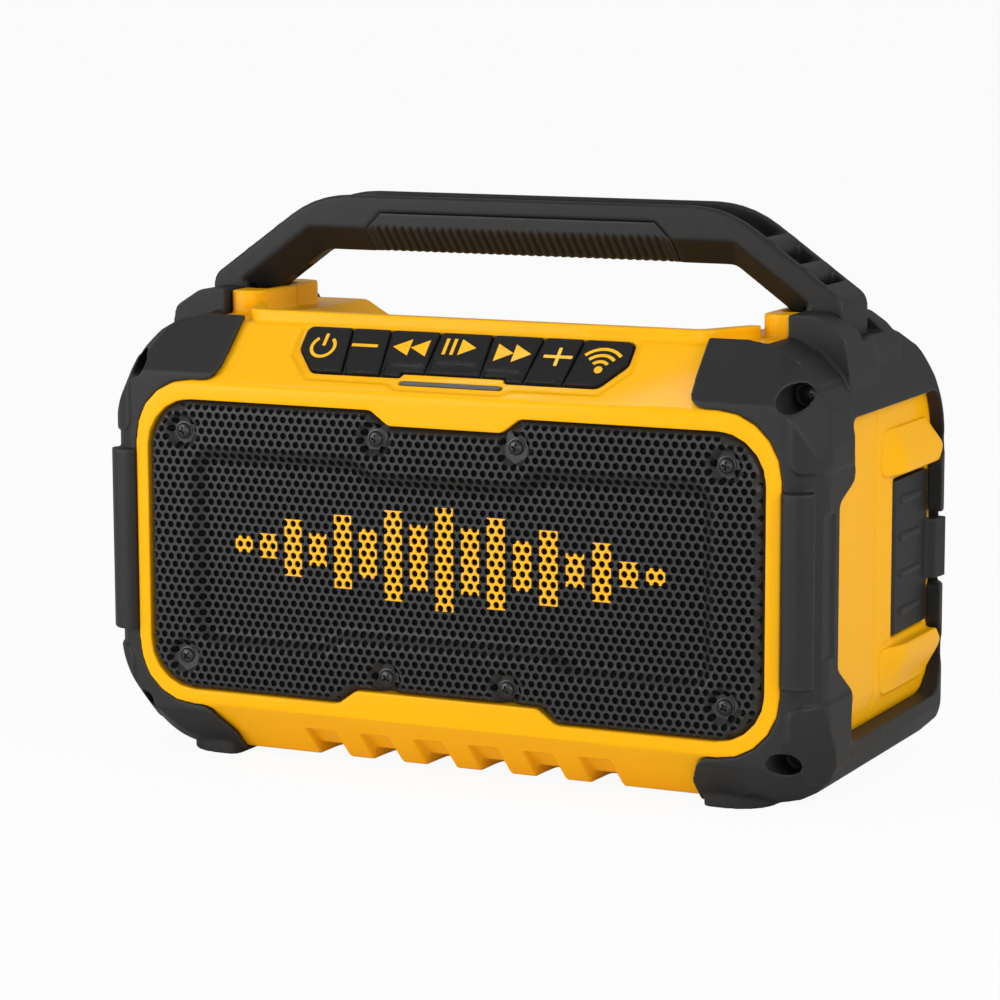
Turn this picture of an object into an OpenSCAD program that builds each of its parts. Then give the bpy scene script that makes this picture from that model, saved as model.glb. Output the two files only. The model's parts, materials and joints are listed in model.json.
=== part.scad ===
// Jobsite wireless speaker: moulded two-part housing, wrap-round end bumpers, bridge handle,
// pressed perforated grille, seven-key panel, side port cover and two full-range drivers.
// X runs to the right, Y to the back, Z up. The origin is on the ground under the middle.

/* [Housing] */
// Width across the moulded side panels
body_w = 252; // [240:1:272]
// Depth from the front bezel to the back wall
body_d = 136; // [128:1:150]
// Height of the top deck above the ground
deck_z = 152; // [150:0.5:158]
// Height of the housing floor above the ground
floor_z = 2.2; // [1.5:0.1:3]
// Moulded wall thickness
wall = 3; // [2.4:0.1:3.6]
// Setback of the sloping key face at the top front edge
top_bevel = 20; // [19:0.5:24]
// Setback of the sloping chin at the bottom front edge
chin_bevel = 18.4; // [15:0.2:20]
// Setback of the sloping edge at the top of the back
rear_top_bevel = 28; // [24:0.5:30]
// Setback of the sloping edge at the bottom of the back
rear_low_bevel = 12; // [10:0.5:16]
// Corner radius seen from above
plan_r = 10; // [8:0.5:14]
// Upper corner radius of the ends seen from the front
end_top_r = 22; // [20:0.5:24]
// Lower corner radius of the ends seen from the front
end_low_r = 28; // [26:0.5:30]
// Distance of the parting line behind the middle
parting_y = 4; // [0:0.5:4]
// Height of the raised lip along the front of the deck
lip_h = 4.3; // [3:0.1:6]
// Thickness of the raised lip
lip_t = 4.5; // [3.5:0.1:5]
// Depth of the finger scoop in the deck at the back
scoop_deep = 14; // [10:0.5:16]

/* [Bezel] */
// Distance of the front frame in from the side panels
bezel_in = 6.5; // [5:0.5:8]
// Lower edge of the front frame above the housing floor
bezel_up = 17.4; // [16:0.2:19]
// Upper edge of the front frame below the deck
bezel_down = 18.7; // [17:0.1:20]
// Outer corner radius of the front frame
bezel_r = 22; // [18:0.5:26]
// Setback of the housing under the bumpers, behind the front frame
bezel_step = 4; // [3.6:0.1:5]
// Reach of the bumper wings over the key face, from the side panels
wing_in = 39; // [36:0.5:42]
// Rounding where the wings meet the front frame
wing_r = 6; // [4:0.5:8]

/* [Grille] */
// Width of the front frame at the sides
frame_side = 5; // [4.5:0.1:7]
// Width of the front frame below the grille
frame_low = 5.5; // [5:0.1:7]
// Width of the front frame above the grille
frame_high = 6.7; // [6:0.1:9]
// Corner radius of the grille opening
opening_r = 17; // [14:0.5:20]
// Height of the bezel tongues that reach into the opening
tongue_h = 5; // [3:0.2:6]
// Half width of the upper tongue at its tip
tongue_top_x = 21; // [18:0.5:24]
// Half width of the lower tongue at its tip
tongue_low_x = 34; // [30:0.5:38]
// Sideways run of the tongue shoulders
tongue_run = 6.8; // [5:0.2:8]
// Depth of the recess that takes the grille
pocket_d = 6; // [5.6:0.1:7]
// Sheet thickness of the grille
sheet_t = 1.2; // [1:0.1:1.6]
// How far the flange of the grille stands in front of the bezel
flange_proud = 0.9; // [0.4:0.1:1.2]
// Depth of the pressed middle panel behind the flange
press_d = 3.3; // [2.6:0.1:3.6]
// Width of the sloping edge of the pressed panel
press_slope = 5.5; // [4:0.5:7]
// Width of the flange on the left and right
flange_side = 17; // [15:0.5:19]
// Width of the flange at the top and bottom
flange_edge = 15.5; // [14.5:0.5:17]
// Pitch of the perforation
hole_pitch = 6.4; // [6:0.1:8]
// Diameter of one perforation
hole_d = 4.4; // [3.6:0.1:4.8]

/* [Keys] */
// Half width of the key panel
panel_x = 61; // [58:0.5:64]
// Length of the key panel up the slope
panel_l = 19.6; // [18:0.2:21]
// Distance of the key panel up the slope from the front frame
panel_up = 8.2; // [7.6:0.1:8.6]
// Depth of the key panel recess, square to the slope
panel_deep = 5; // [4.6:0.1:6]
// Thickness of the rubber mat under the keys
mat_t = 1.6; // [1.2:0.1:2]
// Height of the keys above the slope
key_proud = 0.5; // [0.3:0.1:1]
// Travel of a key
key_travel = 1; // [0.6:0.1:1.2]
// Gap round each key
key_gap = 0.4; // [0.3:0.05:0.5]
// Thickness of the ribs between the keys
key_rib = 0.8; // [0.6:0.1:1]
// Half width of the status lens
lens_x = 19.2; // [16:0.2:21]
// Height of the status lens up the slope
lens_l = 1.7; // [1.4:0.1:2.2]

/* [Bumpers] */
// Thickness of the bumpers on the sides
bumper_t = 5.5; // [4.5:0.1:6.5]
// Thickness of the bumpers on the sloping faces and the deck
wing_t = 2.2; // [2:0.1:2.4]
// Step from the front frame back to the bumper
bumper_step = 0.8; // [0.5:0.1:1.2]
// How far the corner panels stand out of the bumper
panel_proud = 0.8; // [0.6:0.1:1]
// How far the corner pads stand in front of the bezel
pad_front = 2.3; // [1.6:0.1:3]
// Lower end of the corner pads above the housing floor
pad_up = 42.4; // [40:0.2:46]
// Upper end of the corner pads below the deck
pad_down = 44; // [42:0.5:48]
// Depth of the corner pads
pad_d = 9; // [8:0.5:10]
// Upper corner radius of the bumpers seen from the front
bumper_top_r = 31.5; // [30:0.5:32]
// Lower corner radius of the bumpers seen from the front
bumper_low_r = 20; // [18:0.5:26]
// Radius of the slanting round at the upper front corners of the housing
top_corner_r = 41; // [40:0.5:42]
// Radius of the slanting round at the lower front corners of the housing
low_corner_r = 39.7; // [39:0.1:41]
// Diameter of the screw wells in the bumper corners
well_d = 9; // [8:0.5:9.5]
// Depth of the feet from front to back
foot_d = 30; // [26:1:34]
// Distance of the feet in from the side panels
foot_in = 16; // [14:0.5:18]

/* [Handle] */
// Height of the handle top above the deck
handle_rise = 42; // [40:0.5:46]
// Depth of the handle from front to back
handle_d = 25; // [22:0.5:28]
// Height of the grip bar
bar_h = 20; // [18:0.5:22]
// Distance of the bends of the handle in from the side panels
bar_in = 48.7; // [46:0.1:52]
// Distance of the arms in from the side panels
arm_in = 6.5; // [6:0.5:8]
// Width of the arms at their roots
arm_root = 21.5; // [20:0.5:23]
// Height of the shoulder where an arm turns down, above the deck
shoulder_rise = 12; // [11:0.5:14]
// Radius of the bends of the handle
bend_r = 40; // [30:1:44]
// Setback of the sloping inner edges of the handle
handle_bevel = 8.5; // [6:0.5:9.5]
// Wall thickness of the hollow arms
arm_wall = 3.6; // [3:0.1:4.2]
// Distance of the grip ends in from the bends of the handle
grip_in = 19.3; // [17:0.1:24]
// Depth of the rubber grip in the bar
grip_t = 2; // [1.6:0.1:2.6]
// Pitch of the ribs of the rubber grip
grip_pitch = 6; // [5:0.5:8]

/* [Handle posts] */
// Height of the moulded posts at the handle roots, above the deck
post_h = 8; // [6:0.5:9]
// Wall of the posts inside the arms
post_wall = 3.5; // [3:0.1:5]
// Half depth of the posts
post_y = 24; // [21:0.5:26]
// Reach of the rubber collars in from the side panels
collar_in = 20; // [18:0.5:22]
// Half depth of the rubber collars
collar_y = 28; // [26:0.5:32]

/* [Side ports] */
// Depth of the port cover from its hinge to its free edge
cover_l = 34; // [31:0.5:36]
// Distance of the free edge of the port cover from the back
cover_rear = 11.6; // [11:0.1:14]
// Lower edge of the port cover above the housing floor
cover_up = 43.8; // [42:0.2:46]
// Upper edge of the port cover below the deck
cover_down = 52; // [50:0.5:54]
// Thickness of the port cover
cover_t = 3; // [2.6:0.1:3.4]
// Depth of the port recess
port_deep = 9; // [8:0.2:11]
// Bore of the audio socket
aux_d = 3.6; // [3.5:0.05:3.8]
// Bore of the power socket
dc_d = 5.6; // [5.4:0.1:6.2]

/* [Drivers] */
// Place of a driver between the middle and the end of the grille opening
driver_share = 0.454; // [0.43:0.002:0.48]
// Diameter of the driver frame
driver_d = 80; // [76:0.5:82]
// Depth of the driver frame
driver_depth = 30; // [27:0.5:34]
// Diameter of the magnet
magnet_d = 52; // [46:0.5:56]
// Thickness of the magnet
magnet_t = 14; // [11:0.5:18]
// Diameter of the voice coil
coil_d = 20; // [18:0.5:24]
// Free travel of the cone each way
cone_travel = 2; // [1:0.1:2.4]

/* [Battery bay] */
// Width of the battery bay
bay_w = 86; // [80:1:92]
// Lower end of the battery bay above the housing floor
bay_up = 27.8; // [26:0.2:30]
// Upper end of the battery bay below the deck
bay_down = 35; // [34:0.5:40]
// Depth of the battery bay
bay_d = 34; // [28:0.5:36]
// Distance across the battery rails
rail_w = 58; // [54:0.5:62]
// Length of the battery rails
rail_l = 56; // [48:1:60]

/* [Fits] */
// Gap between fixed neighbours
fit = 0.2; // [0.15:0.05:0.3]
// Gap round a piece that moves
run_gap = 0.4; // [0.35:0.05:0.5]
// Shank diameter of the small screws
screw_d = 3; // [2.6:0.1:3.4]
// Head diameter of the small screws
head_d = 6.2; // [5.6:0.1:6.8]
// Head height of the small screws
head_h = 1.8; // [1.5:0.1:2.2]

/* [Hidden] */
$fn = 48;

yellow = "#fdbc14";
rubber = "#3c3c3c";
steel = "#8a8d90";
board_green = "#2f6b46";

// Steps in one rounded corner of an outline
arc_n = 5;
// Overlap that keeps cuts clean
eps = 0.5;

half_w = body_w / 2;
half_d = body_d / 2;
bezel_x = half_w - bezel_in;
bezel_low_z = floor_z + bezel_up;
bezel_high_z = deck_z - bezel_down;
wing_x = half_w - wing_in;
opening_x = bezel_x - frame_side;
opening_low_z = bezel_low_z + frame_low;
opening_high_z = bezel_high_z - frame_high;
pad_low_z = floor_z + pad_up;
pad_high_z = deck_z - pad_down;
foot_x = half_w - foot_in;
handle_top_z = deck_z + handle_rise;
shoulder_z = deck_z + shoulder_rise;
bar_x = half_w - bar_in;
arm_x = half_w - arm_in;
root_x = arm_x - arm_root;
inner_x = bar_x + 0.7;
grip_x = bar_x - grip_in;
post_z = deck_z + post_h;
post_in_x = root_x - post_wall;
collar_x = half_w - collar_in;
cover_low_z = floor_z + cover_up;
cover_high_z = deck_z - cover_down;
driver_x = opening_x * driver_share;
bay_low_z = floor_z + bay_up;
bay_high_z = deck_z - bay_down;
opening_mid_z = (opening_low_z + opening_high_z) / 2;
outer_x = half_w + bumper_t;
// The sloping key face lies on the plane z = y + key_face_c
key_face_c = deck_z + half_d - top_bevel;

// Outline helpers: points are [x, y, corner radius]
function unit(v) = v / norm(v);
function cross2(a, b) = a[0] * b[1] - a[1] * b[0];
function flat2(p) = [p[0], p[1]];
function corner(a, b, c) =
    let (
        u = unit(flat2(a) - flat2(b)),
        w = unit(flat2(c) - flat2(b)),
        half = acos(max(-1, min(1, u * w))) / 2,
        middle = flat2(b) + unit(u + w) * b[2] / sin(half),
        from = flat2(b) + u * b[2] / tan(half) - middle,
        start = atan2(from[1], from[0]),
        sweep = (cross2(u, w) > 0 ? -1 : 1) * (180 - 2 * half)
    )
    b[2] <= 0
        ? [flat2(b)]
        : [
            for (i = [0 : arc_n])
                let (a = start + sweep * i / arc_n)
                middle + b[2] * [cos(a), sin(a)]
        ];
function rounded(p) =
    let (n = len(p))
    [for (i = [0 : n - 1]) for (q = corner(p[(i + n - 1) % n], p[i], p[(i + 1) % n])) q];
function mirrored_x(p) = concat(p, [for (i = [len(p) - 1 : -1 : 0]) [-p[i][0], p[i][1], p[i][2]]]);
function box_outline(x0, y0, x1, y1, r) = [[x0, y0, r], [x1, y0, r], [x1, y1, r], [x0, y1, r]];

// Prisms of an outline drawn in the front, side and plan views
module front_prism(p, y0, y1) {
    translate([0, y1, 0])
        rotate([90, 0, 0])
            linear_extrude(y1 - y0)
                polygon(rounded(p));
}
module side_prism(p, x0, x1) {
    translate([x0, 0, 0])
        rotate([90, 0, 90])
            linear_extrude(x1 - x0)
                polygon(rounded(p));
}
module plan_prism(p, z0, z1) {
    translate([0, 0, z0])
        linear_extrude(z1 - z0)
            polygon(rounded(p));
}
module both_sides() {
    children();
    mirror([1, 0, 0])
        children();
}
// Cylinder along +Y from y0 to y1
module rod_y(x, z, y0, y1, d) {
    translate([x, y1, z])
        rotate([90, 0, 0])
            cylinder(h = y1 - y0, d = d);
}

// Body outlines, each moved outward by a thickness
edge_r = 2.5;
function side_outline(t_bevel, y_front, y_rear, z_low, z_high) =
    let (
        key = key_face_c + t_bevel * sqrt(2),
        chin = floor_z + chin_bevel - half_d - t_bevel * sqrt(2),
        back_top = deck_z + half_d - rear_top_bevel + t_bevel * sqrt(2),
        back_low = floor_z + rear_low_bevel - half_d - t_bevel * sqrt(2)
    )
    [
        [y_front, chin - y_front, edge_r], [chin - z_low, z_low, edge_r],
        [z_low - back_low, z_low, edge_r], [y_rear, y_rear + back_low, edge_r],
        [y_rear, back_top - y_rear, edge_r], [back_top - z_high, z_high, edge_r],
        [z_high - key, z_high, edge_r], [y_front, key + y_front, edge_r]
    ];
// Corners of the ends, each rounded by a slanting cylinder that widens to the middle
corner_y = -half_d + 8;
corner_to_y = -half_d + 38;
top_corner = [half_w - 41.2, deck_z - 46.5];
low_corner = [half_w - 40.9, floor_z + 50.8];
top_corner_from = top_corner + [0, 5];
low_corner_from = low_corner + [10.9, -7];
corner_skin = 0.49;
module corner_trim(p, from, r, up, lean) {
    both_sides()
        difference() {
            translate([from[0], -body_d, up > 0 ? from[1] : from[1] - body_w])
                cube([body_w, body_d + corner_to_y, body_w]);
            translate([p[0], corner_y, p[1]])
                rotate([up * lean, 0, -lean])
                    rod_y(0, 0, -body_d, body_d, 2 * r);
        }
}
module envelope(t_side, t_bevel, y_front, y_rear, z_low, z_high, low_r, top_r) {
    difference() {
        squared_envelope(t_side, t_bevel, y_front, y_rear, z_low, z_high, low_r, top_r);
        for (m = [0, 1])
            mirror([0, m, 0])
                corner_trim(top_corner, top_corner_from, top_corner_r + corner_skin * t_side, 1, 20);
        corner_trim(low_corner, low_corner_from, low_corner_r + corner_skin * t_side, -1, 23);
    }
}
module squared_envelope(t_side, t_bevel, y_front, y_rear, z_low, z_high, low_r, top_r) {
    span = body_w + body_d;
    x = half_w + t_side;
    intersection() {
        front_prism([
            [-x, z_low, low_r], [x, z_low, low_r], [x, z_high, top_r], [-x, z_high, top_r]
        ], -span, span);
        side_prism(side_outline(t_bevel, y_front, y_rear, z_low, z_high), -span, span);
        plan_prism(
            box_outline(-x, y_front, x, y_rear, plan_r + max(t_side, 0) / 2), -span, span
        );
    }
}
module outer_body() {
    envelope(0, 0, -half_d, half_d, floor_z, deck_z, end_low_r, end_top_r);
}
module set_back_body(gap) {
    envelope(gap, gap, -half_d + bezel_step - gap, half_d + gap, floor_z - gap, deck_z + gap,
        end_low_r + gap, end_top_r + gap);
}

// Yellow face seen from the front: the frame with the key face above it and the chin below it
module face_prism(gap) {
    far = deck_z + end_top_r;
    p = [
        [wing_x - 2 + gap, -far, 0], [wing_x - 1 + gap, floor_z + 7, wing_r],
        [wing_x + 5 + gap, bezel_low_z - gap, wing_r], [bezel_x + gap, bezel_low_z - gap, bezel_r],
        [bezel_x + gap, bezel_high_z + gap, bezel_r], [wing_x + gap, bezel_high_z + gap, wing_r],
        [wing_x - 1 + gap, far, 0]
    ];
    front_prism(mirrored_x(p), -body_d, body_d);
}

// Moulded shape of the housing before it is hollowed and parted
module housing_form() {
    difference() {
        union() {
            set_back_body(0);
            intersection() {
                outer_body();
                face_prism(0);
            }
        }
        deck_scoop(0);
    }
    deck_lip();
    both_sides()
        difference() {
            handle_post();
            arm_room(fit);
        }
}
// Lip along the front of the deck, turned back to the handle posts at its ends
lip_y = -half_d + top_bevel + edge_r / 2;
lip_turn_x = post_in_x - 9;
lip_turn_r = 8;
module deck_lip() {
    plan_prism(mirrored_x([
        [lip_turn_x - lip_t, lip_y + lip_t, lip_turn_r - lip_t], [post_in_x + 1 - lip_t, -post_y, 0],
        [post_in_x + 1, -post_y + 1, 0], [lip_turn_x, lip_y, lip_turn_r]
    ]), deck_z - wall, deck_z + lip_h);
}
// Room for the fingers under the handle: the deck falls away behind the lip
scoop_y = lip_y + lip_t + 2;
scoop_x = post_in_x - 9.5;
module deck_scoop(grow) {
    low = deck_z - scoop_deep - grow;
    high = deck_z + post_z;
    end = scoop_x + grow;
    intersection() {
        side_prism([
            [scoop_y - grow, high, 0], [scoop_y - grow, deck_z - 1 - grow, 0], [half_d + wall, low, 0],
            [half_d + wall, high, 0]
        ], -body_w, body_w);
        front_prism(mirrored_x([
            [end - 2 * scoop_deep, deck_z - 2 * scoop_deep - grow, 0], [end, deck_z - grow, 0],
            [end, high, 0]
        ]), -body_d, body_d);
    }
}
// Wall under the scoop
module scoop_pad() {
    difference() {
        intersection() {
            set_back_body(0);
            deck_scoop(wall);
        }
        deck_scoop(0);
    }
}
post_r = 6;
module handle_post() {
    plan_prism([
        [post_in_x, -post_y, post_r], [collar_x, -post_y, 2], [collar_x, post_y, 2],
        [post_in_x, post_y, post_r]
    ], deck_z - wall, post_z);
}

// Room for the handle arms, with a fit all round
module arm_room(gap) {
    translate([root_x - gap, -handle_d / 2 - gap, deck_z - end_top_r])
        cube([arm_x - root_x + 2 * gap, handle_d + 2 * gap, post_z]);
}

// Grille opening with the two bezel tongues
function opening_outline(inset) =
    let (
        x = opening_x - inset,
        low = opening_low_z + inset,
        high = opening_high_z - inset,
        r = opening_r - inset
    )
    mirrored_x([
        [tongue_low_x + inset / 2, low + tongue_h, 4], [tongue_low_x + tongue_run + inset / 2, low, 4],
        [x, low, r], [x, high, r],
        [tongue_top_x + tongue_run + inset / 2, high, 4], [tongue_top_x + inset / 2, high - tongue_h, 4]
    ]);
baffle_y = -half_d + pocket_d;
baffle_back_y = baffle_y + wall + 1;
driver_z = opening_mid_z;
driver_hole_d = driver_d - 12;

module cavity(y0, y1) {
    intersection() {
        envelope(-wall, -wall, -half_d + wall, half_d - wall, floor_z + wall, deck_z - wall,
            end_low_r - wall, end_top_r - wall);
        translate([-body_w, y0, -body_w])
            cube([2 * body_w, y1 - y0, 3 * body_w]);
    }
}

// Grille screws: four corners, two by the upper tongue and two by the lower one
grille_screw_x = opening_x - 13.9;
grille_screw_places = [
    for (s = [-1, 1]) each [
        [s * grille_screw_x, opening_high_z - 11], [s * grille_screw_x, opening_low_z + 11.5],
        [s * (tongue_top_x + 5), opening_high_z - 9.6], [s * (tongue_low_x - 11.5), opening_low_z + 10.4]
    ]
];
boss_d = screw_d + 4;

// Frame of the sloping key face: X right, Y up the slope, Z out of the face
module on_key_face(up) {
    translate([0, -half_d + up / sqrt(2), key_face_c - half_d + up / sqrt(2)])
        rotate([45, 0, 0])
            children();
}
function panel_outline(inset) = mirrored_x([
    [panel_x - 8 - inset / 2, inset, 4], [panel_x - inset, panel_l / 2, 4],
    [panel_x - inset, panel_l - inset, 2.5]
]);
module panel_prism(inset, low, high) {
    translate([0, 0, low])
        linear_extrude(high - low)
            difference() {
                polygon(rounded(panel_outline(inset)));
                translate([-lens_x - inset, -panel_l])
                    square([2 * (lens_x + inset), panel_l + 1.8 + inset]);
            }
}
lens_up = panel_up - lens_l - 1.2;
module lens_prism(gap, low, high) {
    translate([-lens_x - gap, -gap, low])
        cube([2 * (lens_x + gap), lens_l + 2 * gap, high - low]);
}

// Ribs under the chin
chin_rib_n = 5;
chin_rib_pitch = 20.6;
chin_rib_w = 11;
chin_rib_slant = 2;
chin_cut_deep = 4.2;
chin_cut_up = 16;

// Places of the case screws in the bumper corners, and the depth of their wells
well_in = 4.9;
well_down = 14.5;
well_in_low = 7;
well_up = 16;
sleeve_t = 1.4;
well_places = [[half_w - well_in, deck_z - well_down], [half_w - well_in_low, floor_z + well_up]];
case_screw_places = [for (s = [-1, 1]) for (p = well_places) [s * p[0], p[1]]];
well_y = -half_d + 22;
case_screw_l = 24;
case_boss_d = screw_d + 6;

// Places of the handle screws under each arm
handle_screw_x = (root_x + collar_x) / 2 + 4;
handle_screw_y = handle_d / 2 - 4.2;
handle_screw_l = 14;
handle_screw_z = deck_z - wall - 1.5;

module front_housing() {
    color(yellow)
        difference() {
            union() {
                difference() {
                    intersection() {
                        housing_form();
                        translate([-body_w, -body_d, -body_w])
                            cube([2 * body_w, body_d + parting_y, 3 * body_w]);
                    }
                    cavity(baffle_back_y, parting_y + eps);
                    front_prism(opening_outline(0), -body_d, baffle_y);
                }
                intersection() {
                    scoop_pad();
                    translate([-body_w, -body_d, 0])
                        cube([2 * body_w, body_d + parting_y, body_w]);
                }
                for (p = grille_screw_places)
                    rod_y(p[0], p[1], -half_d - flange_proud + sheet_t + fit, baffle_y + eps, boss_d);
                intersection() {
                    set_back_body(0);
                    union() {
                        for (p = case_screw_places) {
                            rod_y(p[0], p[1], -half_d, well_y + wall, well_d + 2 * sleeve_t + 2 * wall);
                            rod_y(p[0], p[1], well_y, well_y + case_screw_l + wall, case_boss_d);
                        }
                        handle_screw_pads(-1);
                        chin_pad();
                    }
                }
            }
            for (s = [-1, 1])
                rod_y(s * driver_x, driver_z, -half_d, baffle_back_y + eps, driver_hole_d);
            on_key_face(panel_up) {
                panel_prism(-fit, -panel_deep, panel_deep);
                panel_prism(-mat_flange - fit, -panel_room, -wall);
            }
            on_key_face(lens_up)
                lens_prism(fit, -lens_deep, lens_deep);
            chin_cuts();
            for (p = grille_screw_places)
                rod_y(p[0], p[1], -body_d, baffle_y + wall - eps, screw_d);
            for (p = case_screw_places) {
                rod_y(p[0], p[1], well_y - fit, well_y + case_screw_l + 2 * wall, screw_d + fit);
                rod_y(p[0], p[1], -body_d, well_y, well_d + 2 * sleeve_t + 2 * fit);
            }
            handle_screw_holes();
            driver_screw_holes();
        }
}

// Line of the cuts under the chin, from the slope back to the floor, raised by a thickness
chin_top = 4.6;
function chin_line(up) = [
    [-half_d + chin_bevel + chin_cut_up, floor_z + up, 3],
    [-half_d + chin_bevel - 1, floor_z + chin_cut_deep + up, 4],
    [-half_d + chin_top, floor_z + chin_bevel - chin_top + up, 0]
];
chin_span = (chin_rib_n + 1) * chin_rib_pitch - (chin_rib_pitch - chin_rib_w);
module chin_pad() {
    side_prism(concat([
        [-half_d + chin_top, floor_z, 0], [-half_d + chin_bevel + chin_cut_up, floor_z, 0]
    ], chin_line(wall)), -chin_span / 2 - wall, chin_span / 2 + wall);
}
// Cuts between the ribs under the chin
module chin_cuts() {
    rib_low = chin_rib_w / 2 - chin_rib_slant;
    rib_high = chin_rib_w / 2 + chin_rib_slant;
    difference() {
        side_prism(concat([[-body_d, -wall, 0], [-half_d + chin_bevel + 2 * chin_cut_up, -wall, 0]],
            chin_line(0), [[-body_d, floor_z + chin_bevel - chin_top, 0]]), -chin_span / 2, chin_span / 2);
        for (i = [0 : chin_rib_n - 1])
            translate([(i - (chin_rib_n - 1) / 2) * chin_rib_pitch, 0, 0])
                front_prism([
                    [-rib_high, floor_z + chin_bevel, 0], [-rib_low, -body_d, 0],
                    [rib_low, -body_d, 0], [rib_high, floor_z + chin_bevel, 0]
                ], -body_d, body_d);
    }
}

// Battery bay walls, and the port recess walls on the right side
bay_y = half_d - bay_d;
bay_mid_z = (bay_low_z + bay_high_z) / 2;
cover_y1 = half_d - cover_rear;
cover_y0 = cover_y1 - cover_l;
port_y0 = cover_y0 - 0.6;
cover_x = half_w + 0.5;
cover_mid_z = (cover_low_z + cover_high_z) / 2;
port_x = half_w - port_deep;
port_rim = 0.5;
standoff_d = 7;
standoff_l = 6;
board_w = 110;
board_h = 70;
board_t = 1.6;
board_y = bay_y - wall - standoff_l - board_t;
board_hole_x = board_w / 2 - 6;
board_hole_z = board_h / 2 - 6;

module rear_housing() {
    color(yellow)
        difference() {
            union() {
                difference() {
                    intersection() {
                        housing_form();
                        translate([-body_w, parting_y + fit, -body_w])
                            cube([2 * body_w, body_d, 3 * body_w]);
                    }
                    cavity(parting_y, half_d);
                }
                intersection() {
                    scoop_pad();
                    translate([-body_w, parting_y + fit, 0])
                        cube([2 * body_w, body_d, body_w]);
                }
                intersection() {
                    set_back_body(0);
                    front_prism(box_outline(
                        -bay_w / 2 - wall, bay_low_z - wall, bay_w / 2 + wall, bay_high_z + wall, 6 + wall
                    ), bay_y - wall, body_d);
                }
                intersection() {
                    set_back_body(0);
                    translate([port_x - wall, port_y0 - wall, cover_low_z - port_rim - wall])
                        cube([port_deep + 2 * wall, cover_y1 + port_rim + 2 * wall - port_y0,
                            cover_high_z - cover_low_z + 2 * port_rim + 2 * wall]);
                }
                for (sx = [-1, 1])
                    for (sz = [-1, 1])
                        rod_y(sx * board_hole_x, bay_mid_z + sz * board_hole_z,
                            board_y + board_t, bay_y - eps, standoff_d);
                for (sx = [-1, 1])
                    bay_gusset(sx);
                both_sides()
                    side_bulges();
                intersection() {
                    set_back_body(0);
                    handle_screw_pads(1);
                }
            }
            handle_screw_holes();
            front_prism(box_outline(-bay_w / 2, bay_low_z, bay_w / 2, bay_high_z, 6), bay_y, body_d);
            port_room();
            socket_holes(fit);
            for (sx = [-1, 1])
                for (sz = [-1, 1])
                    rod_y(sx * board_hole_x, bay_mid_z + sz * board_hole_z,
                        board_y, bay_y - wall - 1, screw_d);
            blade_slots(fit);
        }
}
// Raised panels on the side, above and below the port cover
bulge_t = 4.6;
bulge_gap = 2.5;
bulge_h = 16;
module side_bulges() {
    y0 = parting_y + 4;
    y1 = window_rear_y;
    side_prism(box_outline(y0, cover_low_z, port_y0 - bulge_gap, cover_high_z, 3),
        half_w - wall / 2, half_w + 1);
    for (m = [0, 1])
        translate([0, 0, m * 2 * cover_mid_z])
            mirror([0, 0, m])
                side_prism([
                    [y0, cover_high_z + bulge_gap, 4], [y1, cover_high_z + bulge_gap, 3],
                    [y1 + bulge_h / 3, cover_high_z + bulge_gap + bulge_h / 3, 3],
                    [y1 - bulge_h / 3, cover_high_z + bulge_gap + bulge_h, 4],
                    [y0 + bulge_gap, cover_high_z + bulge_gap + bulge_h, 4]
                ], half_w - wall / 2, half_w + bulge_t);
}
// Web that ties the outer standoffs to the bay wall
module bay_gusset(s) {
    w = board_hole_x + standoff_d / 2 - bay_w / 2;
    h = 2 * board_hole_z + standoff_d;
    translate([s > 0 ? bay_w / 2 : -bay_w / 2 - w, bay_y - wall, bay_mid_z - h / 2])
        cube([w, wall + 1, h]);
}
module port_room() {
    translate([port_x, port_y0, cover_low_z - port_rim])
        cube([
            2 * port_deep, cover_y1 - port_y0 + port_rim, cover_high_z - cover_low_z + 2 * port_rim
        ]);
}

// Side window of a bumper: the yellow panel shows through it. Points are [y, z, radius]
window_front_y = -half_d + 22.5;
window_rear_y = half_d - 11;
window_low_z = floor_z + 17.8;
window_high_z = deck_z - 24;
tab_l = 8;
tab_low_z = cover_mid_z - 12;
tab_high_z = cover_mid_z + 9;
tab_x = outer_x - 0.5;
tab_in_x = half_w + 0.6;
tab_room = 2.4;
function window_outline(notch) = [
    [window_front_y + 12.6, window_high_z, 5], [window_front_y + 15, pad_high_z, 4],
    [window_front_y, pad_high_z - 6, 4], [window_front_y, pad_low_z + 3, 4],
    [window_front_y + 15, pad_low_z - 7, 4], [window_front_y + 12.6, window_low_z, 4],
    [window_rear_y - 2, window_low_z, 6], [window_rear_y + 8, cover_low_z - 11, 5],
    [window_rear_y, cover_low_z, 3],
    if (notch) each [
        [window_rear_y, tab_low_z - tab_room, 1], [cover_y1 + tab_l + tab_room, tab_low_z - tab_room, 1],
        [cover_y1 + tab_l + tab_room, tab_high_z + tab_room, 1], [window_rear_y, tab_high_z + tab_room, 1]
    ],
    [window_rear_y, cover_high_z + 3, 3],
    [window_rear_y + 8, cover_high_z + 8, 5], [window_rear_y - 4, window_high_z, 6]
];

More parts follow.
